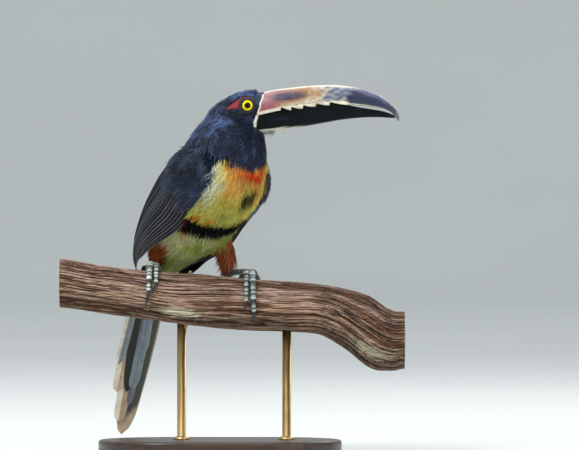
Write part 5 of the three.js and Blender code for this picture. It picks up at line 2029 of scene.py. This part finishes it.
# ---- Studio ----
CAMERA_DISTANCE = 6000.0
CAMERA_LIFT = math.radians(0.5)
FRAME_WIDTH = 451.6  # what the camera takes in across, at the bird
AIM = np.array([54.2, -6.0, 178.6])
PALE = srgb(214, 217, 215)
FLOOR_RADIUS = 6500.0  # level to here, then it curves up into a round backdrop
CURVE = 1500.0
WALL_TOP = 3200.0
WORLD_COLOUR = (0.92, 0.96, 1.0, 1)
WORLD_STRENGTH = 0.85
# Area lights: name, place, what they point at, size and power in watts.
LAMPS = (
    ("key", (-1100, -1500, 1900), (20, 0, 200), 1000, 36),
    ("fill", (1500, -1500, 700), (20, 0, 180), 1500, 8),
    ("top", (-200, 100, 2100), (0, 0, 150), 1300, 13),
    ("back", (900, 1300, 1500), (0, 0, 200), 900, 12),
)
SENSOR = 36.0


def studio_material():
    s = Shader("studio")
    soft = s.noise(s.place(), 0.002, 2)
    s.set(Base_Color=s.mix(s.remap(soft, 0.0, 1.0), tuple(PALE * 0.97), tuple(PALE)))
    s.set(Roughness=s.remap(soft, 0.85, 0.95), Specular_IOR_Level=0.1)
    return s.material


def aimed(thing, place, way):
    """Puts a light or camera at a place, in metres, looking along way."""
    thing.location = place
    thing.rotation_euler = Vector(way).to_track_quat("-Z", "Y").to_euler()
    bpy.context.scene.collection.objects.link(thing)


def build_backdrop():
    profile = [(0.01, 0.0), (400.0, 0.0), (1500.0, 0.0), (FLOOR_RADIUS, 0.0)]
    for a in np.linspace(0, math.pi / 2, 16)[1:]:
        profile.append((FLOOR_RADIUS + CURVE * math.sin(a), CURVE * (1 - math.cos(a))))
    profile.append((FLOOR_RADIUS + CURVE, WALL_TOP))
    angle = circle(96)
    points = np.array([[[r * math.cos(a), r * math.sin(a), z] for a in angle] for r, z in profile])
    faces = grid_faces(len(profile), len(angle), closed=True)[:, ::-1]
    mesh = make_mesh("backdrop", points.reshape(-1, 3), [faces])
    backdrop = bpy.data.objects.new("backdrop", mesh)
    mesh.materials.append(studio_material())
    bpy.context.scene.collection.objects.link(backdrop)


def build_studio():
    build_backdrop()
    world = bpy.data.worlds.new("studio")
    bpy.context.scene.world = world
    world.use_nodes = True
    background = world.node_tree.nodes["Background"]
    background.inputs["Color"].default_value = WORLD_COLOUR
    background.inputs["Strength"].default_value = WORLD_STRENGTH
    for name, place, aim, size, power in LAMPS:
        light = bpy.data.lights.new(name, "AREA")
        light.size = size * MM
        light.energy = power
        aimed(bpy.data.objects.new(name, light), Vector(place) * MM, Vector(aim) - Vector(place))
    camera = bpy.data.cameras.new("camera")
    camera.sensor_width = SENSOR
    camera.lens = SENSOR * CAMERA_DISTANCE / FRAME_WIDTH
    camera.clip_start, camera.clip_end = 0.1, 50
    holder = bpy.data.objects.new("camera", camera)
    away = np.array([0, -math.cos(CAMERA_LIFT), math.sin(CAMERA_LIFT)])
    aimed(holder, Vector((AIM + CAMERA_DISTANCE * away) * MM), -away)
    bpy.context.scene.camera = holder
    bpy.context.scene.view_settings.view_transform = "Standard"


build_studio()
